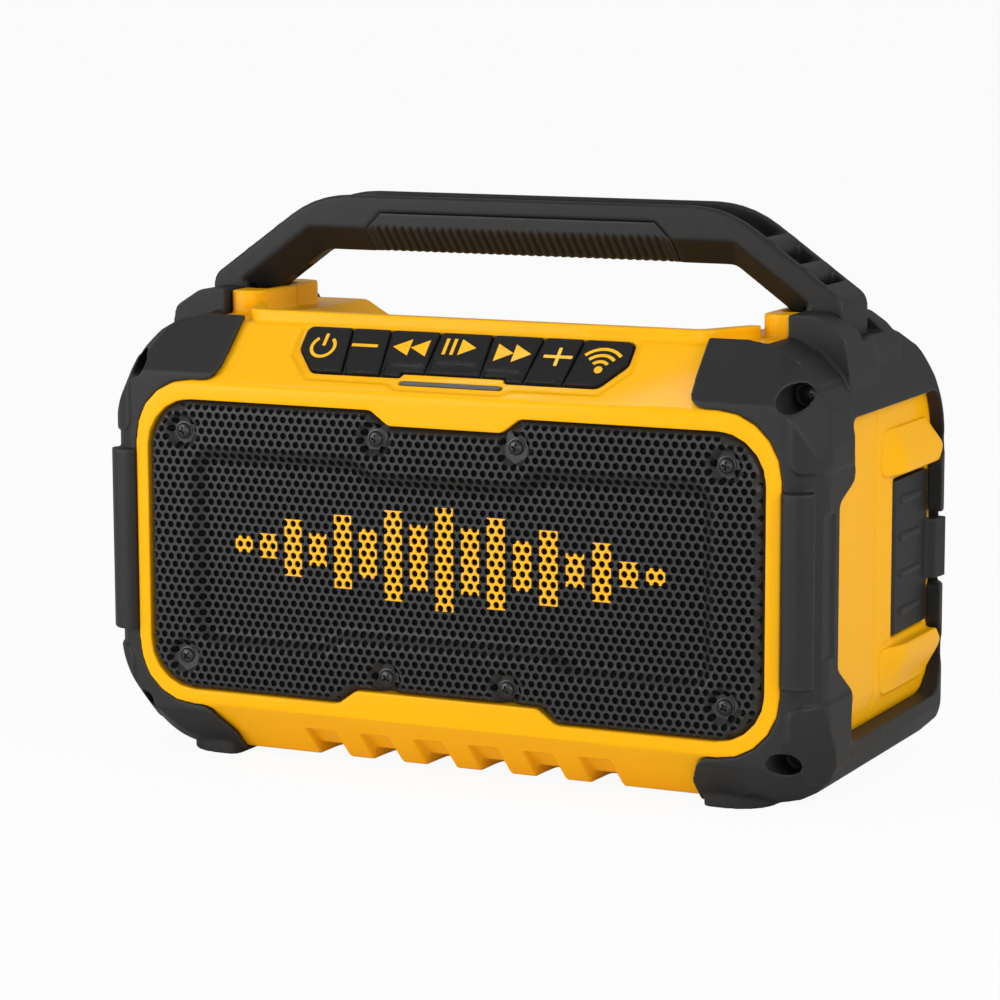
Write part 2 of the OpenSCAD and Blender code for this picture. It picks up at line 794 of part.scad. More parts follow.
bumper_rear = 2.5;
bumper_low = 1;
module bumper_envelope(proud) {
    envelope(bumper_t + proud, wing_t + proud, -half_d + bumper_step - proud, half_d + bumper_rear,
        bumper_low, deck_z + wing_t, bumper_low_r + proud, bumper_top_r + proud);
}
module bumper(notch) {
    difference() {
        union() {
            difference() {
                union() {
                    intersection() {
                        bumper_envelope(0);
                        translate([0, -body_w, -body_w])
                            cube([body_w, 2 * body_w, 3 * body_w]);
                    }
                    handle_collar();
                    corner_pad();
                    corner_panels();
                    for (s = [-1, 1])
                        bumper_foot(s);
                }
                set_back_body(fit);
                face_prism(fit);
                side_prism(window_outline(notch), half_w - wall, body_w);
                deck_room();
                collar_room();
                side_strip();
            }
            intersection() {
                bumper_envelope(0);
                for (p = well_places)
                    rod_y(p[0], p[1], -half_d, well_y - fit, well_d + 2 * sleeve_t);
            }
        }
        for (p = well_places) {
            rod_y(p[0], p[1], -body_d, well_y - fit - sleeve_t, well_d);
            rod_y(p[0], p[1], -body_d, well_y, head_d + 2 * fit);
        }
    }
}
// Clears the yellow deck and posts between the collars
module deck_room() {
    y0 = -half_d + top_bevel + 1;
    translate([0, y0, deck_z - 3 * wing_t])
        cube([collar_x + fit, half_d - y0 - rear_top_bevel / 2 - 4, deck_z]);
}
// Collar round the root of an arm: higher in front than behind
collar_out_x = half_w + 2.3;
collar_z = post_z + 0.5;
collar_mid_x = arm_x - 3.5;
collar_side_z = deck_z - 10;
module handle_collar() {
    low = deck_z - end_top_r;
    front_prism([
        [collar_x + fit, low, 0], [collar_out_x, low, 0], [collar_out_x, collar_side_z, 6],
        [collar_out_x - 2, collar_side_z + 12, 5], [collar_mid_x, collar_z, 8],
        [collar_x + fit, collar_z, 0]
    ], -collar_y, 0);
    front_prism([
        [collar_x + fit, low, 0], [half_w, low, 0], [half_w, collar_side_z + 6, 4],
        [collar_mid_x + 5, collar_z - 7, 4], [collar_mid_x - 1, collar_z - 3, 4],
        [collar_x + fit, collar_z - 2, 0]
    ], 0, collar_y);
}
// Room for the arm, open to the side above the collar floor
collar_floor_z = deck_z - 1;
collar_slot = 6;
module collar_room() {
    arm_room(fit);
    translate([collar_x + wall, -handle_d / 2 - fit, collar_floor_z])
        cube([body_w, handle_d + fit + collar_slot, handle_rise]);
}
module corner_pad() {
    y0 = -half_d - pad_front;
    turn = 5;
    intersection() {
        plan_prism([
            [bezel_x + fit, y0, 3], [outer_x - turn, y0, 4], [outer_x - 0.3, y0 + turn, 3],
            [outer_x - 3.5, y0 + pad_d, 0], [bezel_x + fit, y0 + pad_d, 0]
        ], pad_low_z, pad_high_z);
        front_prism(box_outline(wing_x, pad_low_z, outer_x + wall, pad_high_z, 4), -body_d, body_d);
    }
}
// Raised panels that wrap the bumper corners above and below the pad
panel_in_x = bezel_x + 2.8;
panel_rear_y = window_front_y + 12;
module corner_panels() {
    intersection() {
        bumper_envelope(panel_proud);
        union() {
            front_prism(box_outline(panel_in_x, pad_high_z + 6, body_w, deck_z - 13, 4),
                -body_d, panel_rear_y);
            front_prism(box_outline(panel_in_x, floor_z + 6, body_w, pad_low_z - 6.5, 4),
                -body_d, panel_rear_y);
        }
    }
}
// Shallow strip behind the pad
module side_strip() {
    side_prism(box_outline(-half_d + 4, pad_low_z + 8, -half_d + 18.5, pad_high_z - 8, 1),
        outer_x - panel_proud, body_w);
}
foot_r = 13;
module bumper_foot(s) {
    y0 = s < 0 ? -half_d + 12.4 : half_d - 13 - foot_d;
    plan_prism([
        [wing_x + 1, y0, 3], [foot_x, y0, s < 0 ? foot_r : 4], [foot_x, y0 + foot_d, s < 0 ? 4 : foot_r],
        [wing_x + 1, y0 + foot_d, 3]
    ], 0, 6);
}

module left_bumper() {
    color(rubber)
        mirror([1, 0, 0])
            bumper(false);
}
module right_bumper() {
    color(rubber)
        bumper(true);
}

// Bridge handle with hollow arms
arm_run = [arm_x - bar_x, shoulder_z - handle_top_z];
arm_dir = unit(arm_run);
arm_out = [-arm_dir[1], arm_dir[0]];
bar_low_z = handle_top_z - bar_h;
root_z = post_z - 0.5;
channel_deep = 6;
channel_to = norm(arm_run) - 9;
rib_at = [19.5, 34.5];
rib_r = 5;
function along_arm(s, out) = [bar_x, handle_top_z] + s * arm_dir + out * arm_out;
function with_r(p, r) = [p[0], p[1], r];
// The two slopes cross by this much at the mitre
lap = 0.2;
inner_slope = atan2(bar_low_z - root_z, root_x - inner_x);

module handle_form() {
    front_prism(mirrored_x([
        [inner_x, bar_low_z, 8], [root_x, root_z, 3], [root_x, deck_z - end_top_r, 0],
        [arm_x, deck_z - end_top_r, 0], [arm_x, shoulder_z, 6], [bar_x, handle_top_z, bend_r]
    ]), -handle_d / 2, handle_d / 2);
}
// Channel in the top of the bar and the arms, between a front and a rear flange
module handle_channel() {
    bend = [bar_x, handle_top_z] - channel_deep * ([0, 1] + arm_out) / (1 + arm_out[1]);
    front_prism(mirrored_x([
        [arm_x, handle_top_z + handle_d, 0], with_r(along_arm(channel_to, handle_d), 0),
        with_r(along_arm(channel_to, -channel_deep), channel_deep / 2), with_r(bend, bend_r - channel_deep)
    ]), -handle_d / 2 + arm_wall, handle_d / 2 - arm_wall);
}
slot_from = 10.4;
slot_l = 8.2;
slot_w = 4;
slot_deep = 3;
module arm_slot() {
    translate([inner_x, 0, bar_low_z])
        rotate([0, inner_slope, 0])
            translate([slot_from, -slot_w / 2, -slot_deep])
                cube([slot_l, slot_w, 2 * slot_deep]);
}
module arm_ribs() {
    for (s = rib_at)
        let (p = along_arm(s, 0.4 - rib_r))
            rod_y(p[0], p[1], -handle_d / 2 + arm_wall / 2, handle_d / 2 - arm_wall / 2, 2 * rib_r);
}
// Sloping inner edge of the handle along the bar, mitred to the one along each arm
bevel_over = 2;
bevel_under = handle_d / 2 - handle_bevel - 0.5;
mitre = tan(inner_slope / 2);
function bevel_outline(y_sign, z) = [
    [y_sign * (handle_d / 2 - handle_bevel - bevel_under), z - bevel_under, 0],
    [y_sign * (handle_d / 2 + bevel_over), z + handle_bevel + bevel_over, 0],
    [y_sign * (handle_d / 2 + bevel_over), z - bevel_under, 0]
];
module bevel_bar(y_sign) {
    high = handle_bevel + bevel_over;
    intersection() {
        side_prism(bevel_outline(y_sign, bar_low_z), -arm_x, arm_x);
        front_prism(mirrored_x([
            [inner_x + lap - bevel_under * mitre, bar_low_z - bevel_under, 0],
            [inner_x + lap + high * mitre, bar_low_z + high, 0]
        ]), -handle_d, handle_d);
    }
}
module bevel_arm(y_sign) {
    high = handle_bevel + bevel_over;
    l = norm([root_x - inner_x, bar_low_z - root_z]) + 2 * wall;
    translate([inner_x, 0, bar_low_z])
        rotate([0, inner_slope, 0])
            intersection() {
                side_prism(bevel_outline(y_sign, 0), -arm_x, arm_x);
                front_prism([
                    [bevel_under * mitre - lap, -bevel_under, 0], [l, -bevel_under, 0], [l, high, 0],
                    [-high * mitre - lap, high, 0]
                ], -handle_d, handle_d);
            }
}
module carry_handle() {
    color(rubber)
        difference() {
            union() {
                difference() {
                    handle_form();
                    handle_channel();
                    both_sides()
                        arm_slot();
                    for (y_sign = [-1, 1]) {
                        bevel_bar(y_sign);
                        both_sides()
                            bevel_arm(y_sign);
                    }
                }
                both_sides()
                    arm_ribs();
            }
            grip_form(0);
            set_back_body(fit);
            handle_screw_holes();
        }
}
// Rubber grip let into the lower part of the bar, with slanted ends
grip_high_z = handle_top_z - 6;
grip_tip = 6;
module grip_form(gap) {
    core_y = handle_d / 2 - grip_t + gap;
    end = grip_x - gap;
    high = grip_high_z - gap;
    difference() {
        front_prism(mirrored_x([
            [end, bar_low_z - eps, 0], [end, high - grip_tip, 0], [end - grip_tip, high, 0]
        ]), -handle_d / 2 - eps, handle_d / 2 + eps);
        side_prism([
            [-core_y, high + eps, 0], [-core_y, bar_low_z + handle_bevel, 0],
            [-core_y + handle_bevel, bar_low_z + grip_t - gap, 0],
            [core_y - handle_bevel, bar_low_z + grip_t - gap, 0],
            [core_y, bar_low_z + handle_bevel, 0], [core_y, high + eps, 0]
        ], -body_w, body_w);
    }
}
module handle_grip() {
    rib_n = floor((grip_x - grip_pitch) / grip_pitch);
    groove = 1.6;
    color(rubber)
        difference() {
            intersection() {
                grip_form(fit / 2);
                handle_form();
            }
            for (y_sign = [-1, 1])
                bevel_bar(y_sign);
            for (i = [-rib_n : rib_n])
                translate([i * grip_pitch - groove / 2, -handle_d, bar_low_z - eps])
                    cube([groove, 2 * handle_d, eps + 0.8]);
        }
}
module handle_screw_holes() {
    for (sx = [-1, 1])
        for (sy = [-1, 1])
            translate([sx * handle_screw_x, sy * handle_screw_y, handle_screw_z])
                cylinder(h = handle_screw_l + fit, d = screw_d + fit);
}
module handle_screw_pads(sy) {
    for (sx = [-1, 1])
        translate([sx * handle_screw_x, sy * handle_screw_y, handle_screw_z])
            cylinder(h = deck_z - handle_screw_z, d = head_d + 2);
}
module handle_screws() {
    color(steel)
        for (sx = [-1, 1])
            for (sy = [-1, 1])
                translate([sx * handle_screw_x, sy * handle_screw_y, handle_screw_z]) {
                    cylinder(h = handle_screw_l, d = screw_d);
                    translate([0, 0, -head_h])
                        cylinder(h = head_h, d = head_d);
                }
}

// Pressed grille: flange, sloping edge, middle panel and a rolled rim
flange_y = -half_d - flange_proud;
panel_y = flange_y + press_d;
grille_gap = fit + 0.2;
press_x = opening_x - flange_side;
press_low_z = opening_low_z + flange_edge;
press_high_z = opening_high_z - flange_edge;
press_r = 9;
grille_head_h = 1;
press_half_z = (press_high_z - press_low_z) / 2;
press_mid_z = (press_high_z + press_low_z) / 2;
module press_outline(inset) {
    polygon(rounded(box_outline(
        -press_x + inset, -press_half_z + inset, press_x - inset, press_half_z - inset, press_r - inset / 2
    )));
}
module press_cone(grow, depth) {
    linear_extrude(depth, slices = 1, scale = [
        (press_x + grow - press_slope) / (press_x + grow),
        (press_half_z + grow - press_slope) / (press_half_z + grow)
    ])
        press_outline(-grow);
}
// True where a point lies inside a rounded rectangle about the grille middle
function in_round(x, z, half_x, half_z, r) =
    norm([max(abs(x) - half_x + r, 0), max(abs(z) - half_z + r, 0)]) < r;
hole_edge = hole_d / 2 + 1;
function on_panel(x, z) =
    in_round(x, z, press_x - press_slope - hole_edge, press_half_z - press_slope - hole_edge, press_r / 2);
function on_flange(x, z) =
    !in_round(x, z, press_x + hole_edge, press_half_z + hole_edge, press_r)
    && in_round(x, z, opening_x - sheet_t - hole_edge, opening_half_z - sheet_t - hole_edge, opening_r / 2)
    && (abs(x) > tongue_low_x + tongue_run || abs(z) < opening_half_z - tongue_h - sheet_t - hole_edge)
    && screw_distance(x, z + press_mid_z) > boss_d / 2 + hole_edge;
function screw_distance(x, z) = min([for (q = grille_screw_places) norm([x - q[0], z - q[1]])]);
opening_half_z = (opening_high_z - opening_low_z) / 2;
module perforation(flange) {
    row = hole_pitch * sqrt(3) / 2;
    nx = ceil(opening_x / hole_pitch);
    nz = ceil(opening_half_z / row);
    for (j = [-nz : nz])
        for (i = [-nx : nx])
            let (x = (i + (j % 2 == 0 ? 0 : 0.5)) * hole_pitch, z = j * row)
                if (flange ? on_flange(x, z) : on_panel(x, z))
                    translate([x, z])
                        circle(d = hole_d, $fn = 16);
}
module in_grille_plane(y) {
    translate([0, y, press_mid_z])
        rotate([90, 0, 0])
            children();
}
module speaker_grille() {
    color("#46484a")
        difference() {
            union() {
                in_grille_plane(flange_y + sheet_t)
                    linear_extrude(sheet_t)
                        difference() {
                            translate([0, -press_mid_z])
                                polygon(rounded(opening_outline(grille_gap)));
                            press_outline(0);
                            perforation(true);
                        }
                in_grille_plane(panel_y + sheet_t)
                    linear_extrude(sheet_t)
                        difference() {
                            press_outline(press_slope - 0.4);
                            perforation(false);
                        }
                grille_rim();
                grille_slope();
            }
            for (p = grille_screw_places)
                rod_y(p[0], p[1], -body_d, 0, screw_d + fit);
        }
}
module grille_rim() {
    difference() {
        front_prism(opening_outline(grille_gap), flange_y, baffle_y);
        front_prism(opening_outline(grille_gap + sheet_t), -body_d, body_d);
    }
}
module grille_slope() {
    translate([0, 0, press_mid_z])
        difference() {
            translate([0, flange_y, 0])
                rotate([-90, 0, 0])
                    press_cone(sheet_t / 2, press_d + sheet_t);
            translate([0, flange_y - eps / 4, 0])
                rotate([-90, 0, 0])
                    press_cone(-sheet_t / 2, press_d + sheet_t + eps / 2);
        }
}
// Black cloth on the baffle behind the grille
cloth_t = 0.4;
module dust_cloth() {
    color("#101010")
        difference() {
            front_prism(opening_outline(grille_gap + sheet_t + fit),
                baffle_y - fit - cloth_t, baffle_y - fit);
            for (p = grille_screw_places)
                rod_y(p[0], p[1], -body_d, 0, boss_d + 2 * fit);
        }
}
module grille_screws() {
    color("#202020")
        for (p = grille_screw_places) {
            rod_y(p[0], p[1], flange_y, baffle_y + wall - 2 * eps, screw_d);
            rod_y(p[0], p[1], flange_y - grille_head_h, flange_y, head_d);
        }
}

// Key panel
mat_flange = 1.2;
panel_room = 10;
lens_deep = 2;
key_n = 7;
key_edge_top = [-panel_x - 9, -43.2, -28.6, -9.8, 9.8, 28.6, 43.2, panel_x + 9];
key_edge_low = [-panel_x - 9, -40.8, -26.5, -10.4, 10.4, 26.5, 40.8, panel_x + 9];
mat_top = -wall - fit;
key_low = mat_top + key_travel + run_gap;
stem_d = 4;
switch_h = 1;
key_mid_up = panel_l / 2;
function key_mid(i) =
    let (a = max(key_edge_top[i], -panel_x), b = min(key_edge_top[i + 1], panel_x))
    (a + b) / 2;
module key_cell(i, inset) {
    polygon([
        [key_edge_low[i] + inset, 0], [key_edge_low[i + 1] - inset, 0],
        [key_edge_top[i + 1] - inset, panel_l], [key_edge_top[i] + inset, panel_l]
    ]);
}
module key(i) {
    color(rubber)
        on_key_face(panel_up) {
            intersection() {
                panel_prism(key_gap, key_low, key_proud);
                translate([0, 0, -panel_room])
                    linear_extrude(2 * panel_room)
                        key_cell(i, key_rib / 2 + key_gap);
            }
            translate([key_mid(i), key_mid_up, board_top + switch_h + key_travel + run_gap / 2])
                cylinder(h = key_low - board_top - switch_h - key_travel, d = stem_d);
        }
}
board_top = mat_top - mat_t - fit / 2;
module keypad_mat() {
    color("#2c2c2c")
        on_key_face(panel_up)
            difference() {
                union() {
                    panel_prism(-mat_flange, mat_top - mat_t, mat_top);
                    intersection() {
                        panel_prism(0, mat_top - mat_t / 2, -0.6);
                        for (i = [1 : key_n - 1])
                            key_divider(i);
                    }
                }
                for (i = [0 : key_n - 1])
                    translate([key_mid(i), key_mid_up, -panel_room])
                        cylinder(h = panel_room, d = stem_d + 2 * run_gap + 2);
            }
}
module key_divider(i) {
    translate([0, 0, -panel_room])
        linear_extrude(2 * panel_room)
            polygon([
                [key_edge_low[i] - key_rib / 2, 0], [key_edge_low[i] + key_rib / 2, 0],
                [key_edge_top[i] + key_rib / 2, panel_l], [key_edge_top[i] - key_rib / 2, panel_l]
            ]);
}
module power_key() { key(0); }
module volume_down_key() { key(1); }
module previous_key() { key(2); }
module play_key() { key(3); }
module next_key() { key(4); }
module volume_up_key() { key(5); }
module wireless_key() { key(6); }
module status_lens() {
    color("#8c8f94")
        on_key_face(lens_up)
            lens_prism(0, -lens_deep + fit, 0.2);
}
module keypad_board() {
    color(board_green)
        on_key_face(panel_up) {
            panel_prism(0, board_top - board_t, board_top);
            for (i = [0 : key_n - 1])
                translate([key_mid(i), key_mid_up, board_top - eps])
                    cylinder(h = switch_h + eps, d = stem_d);
        }
}

// Port cover: a rubber flap that swings on the bead along its front edge
bead_d = 3;
hinge_x = cover_x - bead_d / 2;
hinge_y = cover_y0 + bead_d / 2;
cover_plate_low = cover_low_z + run_gap;
cover_plate_high = cover_high_z - run_gap;
module port_cover() {
    color(rubber)
        union() {
            translate([cover_x - cover_t, hinge_y, cover_plate_low])
                cube([cover_t, cover_y1 - hinge_y, cover_plate_high - cover_plate_low]);
            translate([hinge_x, hinge_y, cover_plate_low])
                cylinder(h = cover_plate_high - cover_plate_low, d = bead_d);
            plan_prism([
                [cover_x - cover_t, cover_y1 - 2, 0], [cover_x, cover_y1 - 2, 0], [tab_x - 1, cover_y1, 1],
                [tab_x, cover_y1 + tab_l, 1], [tab_in_x, cover_y1 + tab_l, 1],
                [tab_in_x, cover_y1, 0], [cover_x - cover_t, cover_y1, 0]
            ], tab_low_z, tab_high_z);
            for (i = [0 : cover_ridge_n - 1])
                translate([cover_x - eps, hinge_y + 4, cover_ridge_z(i) - cover_ridge_w / 2])
                    cube([eps + 0.8, cover_l - 14, cover_ridge_w]);
        }
}
cover_ridge_n = 4;
cover_ridge_w = 1.6;
function cover_ridge_z(i) =
    cover_low_z + (cover_high_z - cover_low_z) * (i + 0.6) / (cover_ridge_n + 0.2);
// Plate at the bottom of the port recess, with the three sockets
plate_t = 2.5;
socket_y = (cover_y0 + cover_y1) / 2 + 1;
socket_pitch = 8 / 27 * (cover_high_z - cover_low_z);
aux_z = cover_mid_z + socket_pitch;
usb_z = cover_mid_z;
dc_z = cover_mid_z - socket_pitch;
aux_body_d = 8;
dc_body_d = 10;
usb_w = 13.4;
usb_h = 6;
socket_l = 12;
module rod_x(y, z, x0, x1, d) {
    translate([x0, y, z])
        rotate([0, 90, 0])
            cylinder(h = x1 - x0, d = d);
}
module socket_holes(gap) {
    rod_x(socket_y, aux_z, port_x - 2 * wall, half_w, aux_body_d + 2 * gap);
    rod_x(socket_y, dc_z, port_x - 2 * wall, half_w, dc_body_d + 2 * gap);
    translate([port_x - 2 * wall, socket_y - usb_w / 2 - gap, usb_z - usb_h / 2 - gap])
        cube([port_deep, usb_w + 2 * gap, usb_h + 2 * gap]);
}
module port_plate() {
    color("#262626")
        difference() {
            translate([port_x, port_y0 + fit, cover_low_z - port_rim + fit])
                cube([plate_t, cover_y1 - port_y0 + port_rim - 2 * fit,
                    cover_high_z - cover_low_z + 2 * port_rim - 2 * fit]);
            socket_holes(fit);
        }
}
// Sockets: their faces lie level with the plate and their bodies reach inward
socket_x = port_x + plate_t;
module audio_jack() {
    color("#1c1c1c")
        difference() {
            rod_x(socket_y, aux_z, socket_x - socket_l, socket_x, aux_body_d);
            rod_x(socket_y, aux_z, socket_x - socket_l + 1, body_w, aux_d);
        }
}
module usb_socket() {
    shell = 0.6;
    tongue_t = 1.8;
    color(steel)
        difference() {
            translate([socket_x - socket_l, socket_y - usb_w / 2, usb_z - usb_h / 2])
                cube([socket_l, usb_w, usb_h]);
            difference() {
                translate([socket_x - socket_l + 2, socket_y, usb_z])
                    translate([0, shell - usb_w / 2, shell - usb_h / 2])
                        cube([socket_l, usb_w - 2 * shell, usb_h - 2 * shell]);
                translate([0, socket_y - usb_w / 2 + 2 * shell, usb_z + 0.2])
                    cube([socket_x - 1, usb_w - 4 * shell, tongue_t]);
            }
        }
}
module power_jack() {
    pin_d = 2.1;
    color("#1c1c1c")
        difference() {
            rod_x(socket_y, dc_z, socket_x - socket_l, socket_x, dc_body_d);
            difference() {
                rod_x(socket_y, dc_z, socket_x - socket_l + 2, body_w, dc_d);
                rod_x(socket_y, dc_z, socket_x - socket_l, socket_x - 1, pin_d);
            }
        }
}

// Drivers: drawn with the front along +Z, the frame flange at z = 0
gasket_t = 1;
flange_t = 2;
driver_screw_r = driver_d / 2 - head_d / 2 + 0.1;
roll_r = 1.8;
roll_wall = 0.6;
cone_rim_r = driver_hole_d / 2 - 2 * roll_r - 2 * run_gap;
flange_in_r = driver_hole_d / 2 - roll_r;
coil_wall = 0.8;
coil_r = coil_d / 2;
coil_gap = run_gap + 0.1;
coil_high = -driver_depth / 2;
plate_low = 3;
coil_low = -driver_depth - magnet_t + plate_low + cone_travel + 1;
cone_neck_z = coil_high - 3;
cone_rim_z = -3.4;
cone_wall = 0.8;
module at_driver(s) {
    translate([s * driver_x, baffle_back_y + gasket_t, driver_z])
        rotate([90, 0, 0])
            children();
}
module driver_screw_ring() {
    for (i = [0 : 3])
        rotate(45 + 90 * i)
            translate([driver_screw_r, 0, 0])
                children();
}
module driver_screw_holes() {
    for (s = [-1, 1])
        at_driver(s)
            driver_screw_ring()
                cylinder(h = gasket_t + wall, d = screw_d + fit);
}
module gasket(s) {
    color("#2a2a2a")
        at_driver(s)
            difference() {
                cylinder(h = gasket_t, d = driver_d);
                translate([0, 0, -eps])
                    cylinder(h = gasket_t + 2 * eps, d = driver_hole_d + 2 * fit);
                driver_screw_ring()
                    translate([0, 0, -eps])
                        cylinder(h = gasket_t + 2 * eps, d = screw_d + fit);
            }
}
module basket(s) {
    wall_t = 1.6;
    neck_r = magnet_d / 2;
    window_n = 6;
    color("#3a3c3e")
        at_driver(s)
            difference() {
                rotate_extrude($fn = 64)
                    polygon([
                        [flange_in_r, 0], [driver_d / 2, 0], [driver_d / 2, -flange_t],
                        [flange_in_r + wall_t, -flange_t], [neck_r, -driver_depth + 4],
                        [neck_r, -driver_depth], [coil_r + 2, -driver_depth],
                        [coil_r + 2, -driver_depth + 2], [neck_r - wall_t, -driver_depth + 2],
                        [flange_in_r, -flange_t - 1]
                    ]);
                for (i = [0 : window_n - 1])
                    rotate(i * 360 / window_n)
                        translate([coil_r, -magnet_d / 6, -driver_depth + 5])
                            cube([driver_d, magnet_d / 3, driver_depth - flange_t - 9]);
                driver_screw_ring()
                    translate([0, 0, -2 * flange_t])
                        cylinder(h = 3 * flange_t, d = screw_d + fit);
            }
}
module magnet(s) {
    pole_r = coil_r - coil_wall - coil_gap;
    color("#4a4c50")
        at_driver(s)
            rotate_extrude($fn = 64)
                polygon([
                    [0, -driver_depth - magnet_t], [magnet_d / 2, -driver_depth - magnet_t],
                    [magnet_d / 2, -driver_depth], [coil_r + coil_gap, -driver_depth],
                    [coil_r + coil_gap, -driver_depth - magnet_t + plate_low],
                    [pole_r, -driver_depth - magnet_t + plate_low], [pole_r, -driver_depth],
                    [0, -driver_depth]
                ]);
}
module cone(s) {
    color("#1f2021")
        at_driver(s)
            rotate_extrude($fn = 64)
                polygon([
                    [coil_r, cone_neck_z], [coil_r + cone_wall, cone_neck_z],
                    [cone_rim_r, cone_rim_z - cone_wall], [cone_rim_r, cone_rim_z],
                    [cone_rim_r - cone_wall, cone_rim_z], [coil_r, cone_neck_z + neck_h]
                ]);
}
cap_r = coil_r + 4;
neck_h = 1.4;
cone_rise = (cone_rim_z - cone_neck_z - neck_h) / (cone_rim_r - cone_wall - coil_r);
cap_z = cone_neck_z + neck_h + (cap_r - coil_r) * cone_rise;
module dust_cap(s) {
    rise = 5;
    ball_r = (cap_r * cap_r + rise * rise) / (2 * rise);
    color("#2b2c2e")
        at_driver(s)
            translate([0, 0, cap_z + fit / 2])
                difference() {
                    intersection() {
                        translate([0, 0, rise - ball_r])
                            sphere(r = ball_r, $fn = 64);
                        cylinder(h = rise + 1, r = cap_r);
                    }
                    translate([0, 0, rise - ball_r])
                        sphere(r = ball_r - cone_wall, $fn = 64);
                }
}
module voice_coil(s) {
    color("#a5642c")
        at_driver(s)
            translate([0, 0, coil_low])
                difference() {
                    cylinder(h = coil_high - coil_low, r = coil_r);
                    translate([0, 0, -eps])
                        cylinder(h = driver_depth + magnet_t, r = coil_r - coil_wall);
                }
}
module surround(s) {
    color("#161616")
        at_driver(s)
            rotate_extrude($fn = 64)
                translate([driver_hole_d / 2 - roll_r - fit, 0])
                    intersection() {
                        difference() {
                            circle(r = roll_r, $fn = 32);
                            circle(r = roll_r - roll_wall, $fn = 32);
                        }
                        translate([-roll_r, 0])
                            square([2 * roll_r, roll_r]);
                    }
}
module left_gasket() { gasket(-1); }
module right_gasket() { gasket(1); }
module left_basket() { basket(-1); }
module right_basket() { basket(1); }
module left_magnet() { magnet(-1); }
module right_magnet() { magnet(1); }
module left_cone() { cone(-1); }
module right_cone() { cone(1); }
module left_dust_cap() { dust_cap(-1); }
module right_dust_cap() { dust_cap(1); }
module left_voice_coil() { voice_coil(-1); }
module right_voice_coil() { voice_coil(1); }
module left_surround() { surround(-1); }
module right_surround() { surround(1); }
module driver_screws() {
    color(steel)
        for (s = [-1, 1])
            at_driver(s)
                driver_screw_ring() {
                    translate([0, 0, -flange_t])
                        cylinder(h = flange_t + gasket_t + wall - eps, d = screw_d);
                    translate([0, 0, -flange_t - head_h])
                        cylinder(h = head_h, d = head_d);
                }
}

// Amplifier board on four standoffs, with its parts, and the heat sink in front of it
module main_board() {
    can_d = 12;
    can_l = 14;
    can_x = 34;
    can_up = 18;
    chip = 18;
    chip_t = 3;
    coil = 14;
    coil_h = 8;
    part_x = board_w / 4;
    part_down = board_h / 3;
    color(board_green)
        difference() {
            union() {
                translate([-board_w / 2, board_y, bay_mid_z - board_h / 2])
                    cube([board_w, board_t, board_h]);
                for (i = [-1, 1])
                    rod_y(i * can_x, bay_mid_z + can_up, board_y - can_l, board_y + eps, can_d);
                translate([part_x, board_y - chip_t, bay_mid_z - part_down])
                    cube([chip, chip_t + eps, chip]);
                translate([-part_x - coil, board_y - coil_h, bay_mid_z - part_down])
                    cube([coil, coil_h + eps, coil]);
            }
            board_screw_places()
                rod_y(0, 0, board_y - eps, board_y + board_t + eps, screw_d + fit);
        }
}
module board_screw_places() {
    for (sx = [-1, 1])
        for (sz = [-1, 1])
            translate([sx * board_hole_x, 0, bay_mid_z + sz * board_hole_z])
                children();
}
module board_screws() {
    color(steel)
        board_screw_places() {
            rod_y(0, 0, board_y - eps / 2, bay_y - wall - 2, screw_d);
            rod_y(0, 0, board_y - head_h, board_y, head_d);
        }
}
module heat_sink() {
    sink_w = 42;
    sink_h = 34;
    base_t = 3;
    fin_l = 10;
    fin_n = 7;
    fin_t = 1.6;
    sink_y = board_y - base_t;
    color("#9a9ea2")
        translate([-sink_w / 2, 0, bay_mid_z - sink_h / 2 - 8]) {
            translate([0, sink_y, 0])
                cube([sink_w, base_t, sink_h]);
            for (i = [0 : fin_n - 1])
                translate([i * (sink_w - fin_t) / (fin_n - 1), sink_y - fin_l, 0])
                    cube([fin_t, fin_l + eps, sink_h]);
        }
}

// Battery bay fittings: a rail plate with two hooked rails, a terminal block and its blades
rail_t = 4;
rail_up = 12;
hook = 4;
rail_plate_t = 2;
rail_plate_z = bay_low_z + 14;
block_w = 40;
block_h = 16;
block_d = 10;
block_z = rail_plate_z + rail_l - block_h;
blade_w = 1.2;
blade_h = 8;
blade_l = 22;
blade_places = [-13, 0, 13];
module battery_rails() {
    color("#2a2a2a")
        difference() {
            union() {
                translate([-rail_w / 2 - rail_t, bay_y, rail_plate_z])
                    cube([rail_w + 2 * rail_t, rail_plate_t, rail_l]);
                both_sides()
                    translate([rail_w / 2, bay_y, rail_plate_z]) {
                        cube([rail_t, rail_up, rail_l]);
                        translate([-hook, rail_up - rail_t, 0])
                            cube([hook + eps, rail_t, rail_l]);
                    }
            }
            translate([-block_w / 2 - fit, 0, block_z - block_h / 2 - fit])
                cube([block_w + 2 * fit, body_d, block_h + 2 * fit]);
        }
}
module terminal_block() {
    color("#171717")
        difference() {
            translate([-block_w / 2, bay_y, block_z - block_h / 2])
                cube([block_w, block_d, block_h]);
            blade_slots(fit);
        }
}
module blade_slots(gap) {
    for (x = blade_places)
        translate([x - blade_w / 2 - gap, bay_y - wall - eps - gap, block_z - blade_h / 2 - gap])
            cube([blade_w + 2 * gap, blade_l + 2 * gap, blade_h + 2 * gap]);
}
module terminal_blades() {
    color("#c9a24a")
        blade_slots(0);
}
module case_screws() {
    color(steel)
        for (p = case_screw_places) {
            rod_y(p[0], p[1], well_y - eps / 2, well_y + case_screw_l, screw_d);
            rod_y(p[0], p[1], well_y - head_h, well_y, head_d);
        }
}

